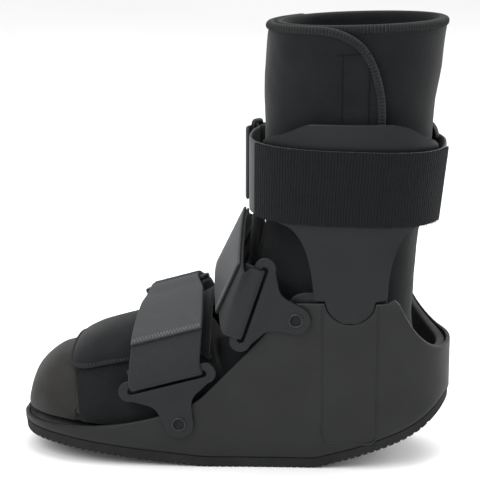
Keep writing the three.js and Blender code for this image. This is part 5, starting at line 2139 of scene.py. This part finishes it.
@dataclass
class SoftBoot:
    """The padded liner with its toe cover, flaps and bindings."""

    finishes: Finishes
    form: BootForm = FORM
    rows: int = 150
    sides: int = 96
    fold: float = 1.1
    toe_seam: float = 3.5
    forefoot_rows: Pair = (5.0, 9.6)
    forefoot_span: Pair = (-62, 54)
    forefoot_corner: float = 0.22
    forefoot_tip: float = 0.62
    forefoot_pad: float = 4.4
    tongue_rows: Pair = (12.3, 19.75)
    tongue_half: float = 24
    tongue_pad: float = 3.4
    cuff_foot: float = 20.5
    cuff_span: Pair = (-111, 48)
    cuff_top: float = -62
    cuff_corner: float = 0.55
    overlock_pitch: float = 2.3
    # ends of the stitched lines on the cuff wrap, as x and height
    patch_lines: tuple[tuple[Pair, Pair], ...] = (
        ((71, 284), (93, 286)), ((75, 284), (75, 240)), ((92.4, 286), (92.4, 240)),
    )

    def crease(self, point: Vector) -> float:
        """Height of the liner's soft folds at a point.

        Args:
            point: the point.
        Returns:
            The height.
        """
        big = noise.noise(Vector((point.x / 34, point.y / 30, point.z / 26)))
        small = noise.noise(Vector((point.x / 11 + 7, point.y / 13, point.z / 9)))
        return self.fold * (big * 0.8 + small * 0.25)

    def surface(self, at: float, angle: float, offset: float = 0) -> Vector:
        """The liner's surface with its folds."""
        plain = self.form.liner_point(at, angle, offset)
        return self.form.liner_point(at, angle, offset + self.crease(plain) - 0.5)

    def sock(self) -> None:
        """Builds the liner and the toe cover, parted at the toe seam."""
        form = self.form
        rings = []
        for at in steps(0, form.last_row, self.rows):
            rings.append([self.surface(at, tau * k / self.sides) for k in range(self.sides)])
        tip = sum(rings[0], Vector()) / self.sides
        rings = [[tip.lerp(p, 0.03) for p in rings[0]], [tip.lerp(p, 0.5) for p in rings[0]], *rings]
        seam = form.toe + form.toe_cap
        for name, keep_front, finish, slot, node in (
            ("soft_boot", False, self.finishes.liner, "liner", "liner_boot"),
            ("toe_cover", True, self.finishes.toe, "toe_cloth", "toe_cap"),
        ):
            piece = Shaper.lattice(name, rings, wrap=True, flip=True)
            self.part(piece, (seam - form.seam / 2 if keep_front else seam + form.seam / 2) * MM, keep_front)
            for vertex in piece.data.vertices:
                gap = abs(vertex.co.x / MM - seam)
                if gap < self.toe_seam:
                    vertex.co += vertex.normal * (-0.9 * (1 - gap / self.toe_seam) ** 2 * MM)
            Shaper.thicken(piece, form.liner_wall)
            Shaper.settle(piece)
            dress(piece, finish, [node])

    @staticmethod
    def part(piece: Object, x: float, keep_front: bool) -> None:
        """Cuts a sheet at a plane across the boot and keeps one side.

        Args:
            piece: the sheet.
            x: the plane's place, in metres.
            keep_front: keeps the toe side if true.
        """
        mesh = bmesh.new()
        mesh.from_mesh(piece.data)
        bmesh.ops.bisect_plane(
            mesh,
            geom=[*mesh.verts, *mesh.edges, *mesh.faces],
            plane_co=(x, 0, 0),
            plane_no=(1, 0, 0),
            clear_outer=keep_front,
            clear_inner=not keep_front,
        )
        mesh.to_mesh(piece.data)
        mesh.free()

    def pad(
        self,
        name: str,
        rows: Pair,
        limits: Callable[[float], Pair],
        thickness: float,
        lift: Callable[[float, float], float],
        slide: Callable[[float, float], float] = lambda at, across: 0.0,
        counts: tuple[int, int] = (46, 46),
    ) -> Object:
        """A padded flap over the liner, thinned at its rim.

        Args:
            name: the piece's name.
            rows: first and last row on the liner.
            limits: first and last angle for a share along the flap.
            thickness: its thickness.
            lift: how far it stands off the liner, for shares along and across it.
            slide: how far it slides along the boot, for the same shares.
            counts: steps along and across.
        Returns:
            The pad.
        """
        form = self.form
        lattice: list[list[Vector]] = []
        for u in steps(0, 1, counts[0]):
            at = lerp(*rows, u)
            low, high = limits(u)
            outer, inner = [], []
            for v in steps(0, 1, counts[1]):
                angle = lerp(low, high, v)
                edge = min(min(u, 1 - u) * 9, min(v, 1 - v) * 9, 1.0)
                full = thickness * lerp(0.45, 1, quarter(edge))
                off = form.pad_seat + lift(u, v)
                move = Vector((slide(u, v), 0, 0))
                plain = form.liner_point(at, angle, off + full)
                outer.append(form.liner_point(at, angle, off + full + self.crease(plain) * 0.8 * edge - 0.3) + move)
                inner.append(form.liner_point(at, angle, off + 0.1) + move)
            lattice.append([*outer, *reversed(inner)])
        piece = Shaper.lattice(name, lattice, wrap=True)
        Shaper.close_fold(piece, len(lattice), len(lattice[0]))
        return piece

    def forefoot_draw(self, u: float) -> float:
        """Share of the forefoot pad's span at a share along it, less at its rounded front corners."""
        return lerp(self.forefoot_tip, 1, quarter(min(u / self.forefoot_corner, 1)))

    def flaps(self) -> None:
        """Builds the forefoot pad, the tongue and the cuff wrap."""
        form = self.form
        tongue_half = radians(self.tongue_half)

        def forefoot_limits(u: float) -> Pair:
            """Angles of the forefoot pad."""
            low, high = self.forefoot_span
            return radians(low * self.forefoot_draw(u)), radians(high * self.forefoot_draw(u))

        pad = self.pad(
            "forefoot_pad",
            self.forefoot_rows,
            forefoot_limits,
            self.forefoot_pad,
            lambda u, v: 22 * u**5 * sin(pi * v),
            lambda u, v: 12 * u**3 * sin(pi * v),
        )
        dress(pad, self.finishes.liner, ["forefoot_flap"])

        tongue = self.pad(
            "tongue_sheet",
            self.tongue_rows,
            lambda u: (-tongue_half * sqrt(1 - (max(u - 0.9, 0) / 0.1) ** 2 * 0.5), tongue_half),
            self.tongue_pad,
            lambda u, v: 8 * smoothstep(u, 0.5, 1.2),
            counts=(40, 12),
        )
        dress(tongue, self.finishes.liner, ["tongue"])

        def cuff_limits(u: float) -> Pair:
            """Angles of the cuff wrap, with its rounded upper rear corner."""
            up = clamp((u - self.cuff_corner) / (1 - self.cuff_corner), 0, 1)
            rear = lerp(self.cuff_top, self.cuff_span[0], sqrt(1 - up * up))
            return radians(rear), radians(self.cuff_span[1])

        cuff = self.pad(
            "cuff_wrap", (self.cuff_foot, form.last_row), cuff_limits, form.flap, lambda u, v: 0.0, counts=(70, 60)
        )
        dress(cuff, self.finishes.liner, ["cuff_flap"])

    @staticmethod
    def edge_frame(point: Vector, beside: Vector, inside: Vector, half: float, reach: float) -> Frame:
        """A frame on a pad's edge.

        Args:
            point: the edge's middle.
            beside: the edge a little further along.
            inside: the pad's middle a little further in.
            half: half the binding's thickness.
            reach: how far the binding reaches in.
        Returns:
            The frame, with its normal towards the pad.
        """
        along = (beside - point).normalized()
        inward = inside - point
        inward = (inward - along * inward.dot(along)).normalized()
        return Frame(point + inward * (reach * 0.32), inward.cross(along).normalized(), inward, half, along)

    def bind(
        self,
        name: str,
        edge: Callable[[float], Pair],
        offset: float,
        half: float,
        reach: float,
        inside: Pair,
        loop: bool = False,
        count: int = 120,
    ) -> None:
        """Binds an edge that runs over the liner.

        Args:
            name: the binding's name.
            edge: gives the row and the angle for a share along the edge.
            offset: how far the edge's middle is off the liner.
            half: half the binding's thickness.
            reach: how far it reaches in.
            inside: a row and an angle that lie inside the pad.
            loop: the edge closes on itself.
            count: number of steps.
        """
        form = self.form
        path = []
        for t in steps(0, 1, count)[: count if loop else count + 1]:
            at, angle = edge(t)
            ahead = edge(min(t + 1e-3, 1)) if t < 1 else edge(1 - 1e-3)
            inner = (lerp(at, inside[0], 0.06), lerp(angle, inside[1] if not loop else angle, 0.06))
            sign = 1 if t < 1 else -1
            point = form.liner_point(at, angle, offset)
            beside = point + (form.liner_point(*ahead, offset) - point) * sign
            path.append(self.edge_frame(point, beside, form.liner_point(*inner, offset), half, reach))
        ladder = []
        for at in Shaper.spaced(path, self.overlock_pitch, loop):
            for face in (-1, 1):
                crest = at.centre + at.across * (face * at.half * 0.98)
                for end in (-1, 1):
                    foot = at.centre + at.across * (face * at.half * 0.66) + at.normal * (end * reach * 0.43)
                    ladder.append((foot, crest, at.across * face))
        dress(Shaper.threads(f"{name}_ladder", ladder, 0.3), self.finishes.overlock)
        dress(Shaper.binding(name, path, reach, self.overlock_pitch, loop), self.finishes.binding)

    def bindings(self) -> None:
        """Sews the overlocked bindings round the cuff, its wrap and the forefoot pad."""
        form = self.form
        foot, last, corner = self.cuff_foot, float(form.last_row), self.cuff_corner
        rear, top = self.cuff_span[0], self.cuff_top

        def rim(t: float) -> Pair:
            """The cuff's whole upper rim."""
            return last, tau * t

        self.bind("cuff_binding", rim, -form.liner_wall / 2, 3.1, 6.0, (last - 2, 0), loop=True)

        def wrap(t: float) -> Pair:
            """The wrap's rear edge, its rounded corner and its upper edge."""
            if t < 0.3:
                return lerp(foot, foot + corner * (last - foot), t / 0.3), radians(rear)
            if t < 0.62:
                turn = pi / 2 * (t - 0.3) / 0.32
                up = lerp(corner, 1, sin(turn))
                return lerp(foot, last, up), radians(lerp(top, rear, cos(turn)))
            return last, radians(lerp(top, self.cuff_span[1] - 1, (t - 0.62) / 0.38))

        middle = form.pad_seat + form.flap / 2
        self.bind("wrap_binding", wrap, middle, 2.9, 5.6, (foot + 1, radians(-20)), count=260)

        def front(t: float) -> Pair:
            """The forefoot pad's lower near edge and its front edge."""
            near, far = self.forefoot_span
            if t < 0.5:
                u = lerp(1, 0, t / 0.5)
                return lerp(*self.forefoot_rows, u), radians(near * self.forefoot_draw(u))
            return self.forefoot_rows[0], radians(lerp(near, far, (t - 0.5) / 0.5) * self.forefoot_tip)

        self.bind("pad_binding", front, form.pad_seat + 1.4, 1.7, 3.6, (7.5, 0.0), count=240)

    def patch(self) -> None:
        """Sews the stitched patch on the near side of the cuff wrap."""
        form = self.form
        off = form.pad_seat + form.flap + 0.1
        last = float(form.last_row)

        def row_at(angle: float, z: float) -> float:
            """The row at a height."""
            return bisect(20.0, last, lambda at: form.liner_point(at, angle, off).z < z, 14)

        def spot(x: float, z: float) -> tuple[Vector, Vector]:
            """The wrap's near surface at a place, and the way out of it."""
            low, high = radians(-150), radians(-30)
            angle = bisect(low, high, lambda a: form.liner_point(row_at(a, z), a, off).x >= x, 18)
            at = row_at(angle, z)
            here = form.liner_point(at, angle, off)
            out = (here - form.liner_point(at, angle, off - 1)).normalized()
            return form.liner_point(at, angle, off + self.crease(here) * 0.8 - 0.4), out

        stitches = []
        for (x0, z0), (x1, z1) in self.patch_lines:
            count = round(hypot(x1 - x0, z1 - z0) / 2.6)
            spots = [spot(lerp(x0, x1, t), lerp(z0, z1, t)) for t in steps(0, 1, count)]
            stitches += [(a[0].lerp(b[0], 0.03), a[0].lerp(b[0], 0.97), a[1]) for a, b in zip(spots, spots[1:])]
        dress(Shaper.threads("wrap_stitches", stitches, 0.3), self.finishes.dark_thread)

    def build(self) -> None:
        """Builds and dresses the soft boot."""
        self.sock()
        self.flaps()
        self.bindings()
        self.patch()


@dataclass(frozen=True)
class Studio:
    """The camera at the photograph's angle, the floor and the lights."""

    azimuth: float = 6
    elevation: float = 13
    distance: float = 1.25
    target: tuple[float, float, float] = (0.00327, 0, 0.14925)
    lens: float = 135.84
    floor_reach: float = 6

    def camera(self) -> None:
        """Places the camera."""
        a, e = radians(self.azimuth), radians(self.elevation)
        back = Vector((sin(a) * cos(e), -cos(a) * cos(e), sin(e)))
        data = bpy.data.cameras.new("photo_camera")
        data.lens = self.lens
        data.sensor_width = 36
        camera = linked("photo_camera", data)
        camera.location = Vector(self.target) + back * self.distance
        camera.rotation_euler = back.to_track_quat("Z", "Y").to_euler()
        bpy.context.scene.camera = camera

    def floor(self) -> None:
        """Lays the plain pale floor."""
        mesh = bpy.data.meshes.new("studio_floor")
        corners = [(x * self.floor_reach, y * self.floor_reach, 0) for x, y in ((-1, -1), (1, -1), (1, 1), (-1, 1))]
        mesh.from_pydata(corners, [], [(0, 1, 2, 3)])
        floor = linked("studio_floor", mesh)
        sheet = NodeSheet("studio_paper", 0.9, specular=0.1)
        sheet.colour(sheet.ramp(sheet.noise(900, 2), 0.3, 0.7, grey(0.86), grey(0.9)))
        mesh.materials.append(sheet.material)

    def light(self, name: str, place: tuple[float, float, float], size: float, power: float) -> None:
        """Hangs one soft lamp that faces the boot.

        Args:
            name: the lamp's name.
            place: where it hangs, in metres.
            size: its width, in metres.
            power: its power, in watts.
        """
        data = bpy.data.lights.new(name, "AREA")
        data.size = size
        data.energy = power
        lamp = linked(name, data)
        lamp.location = place
        lamp.rotation_euler = (Vector(place) - Vector((0, 0, 0.12))).to_track_quat("Z", "Y").to_euler()

    def build(self) -> None:
        """Sets up the whole studio."""
        self.camera()
        self.floor()
        world = bpy.data.worlds.new("studio_world")
        world.use_nodes = True
        world.node_tree.nodes["Background"].inputs["Color"].default_value = (1, 1, 1, 1)
        world.node_tree.nodes["Background"].inputs["Strength"].default_value = 1.0
        bpy.context.scene.world = world
        bpy.context.scene.view_settings.view_transform = "Standard"
        self.light("key_lamp", (-0.8, -1.4, 1.5), 1.2, 26)
        self.light("top_lamp", (0.2, 0.1, 1.6), 1.4, 18)
        self.light("rim_lamp", (1.3, 0.7, 0.9), 0.9, 12)


def main() -> None:
    """Builds the studio and the boot, one sub-assembly after another."""
    logging.basicConfig(level=logging.INFO, format="%(name)s %(message)s")
    Studio().build()
    finishes = Finishes()
    for part in (Base(finishes), Uprights(finishes), Plates(finishes), Straps(finishes), SoftBoot(finishes)):
        part.build()
        log.info("%s built", type(part).__name__)


if __name__ == "__main__":
    main()
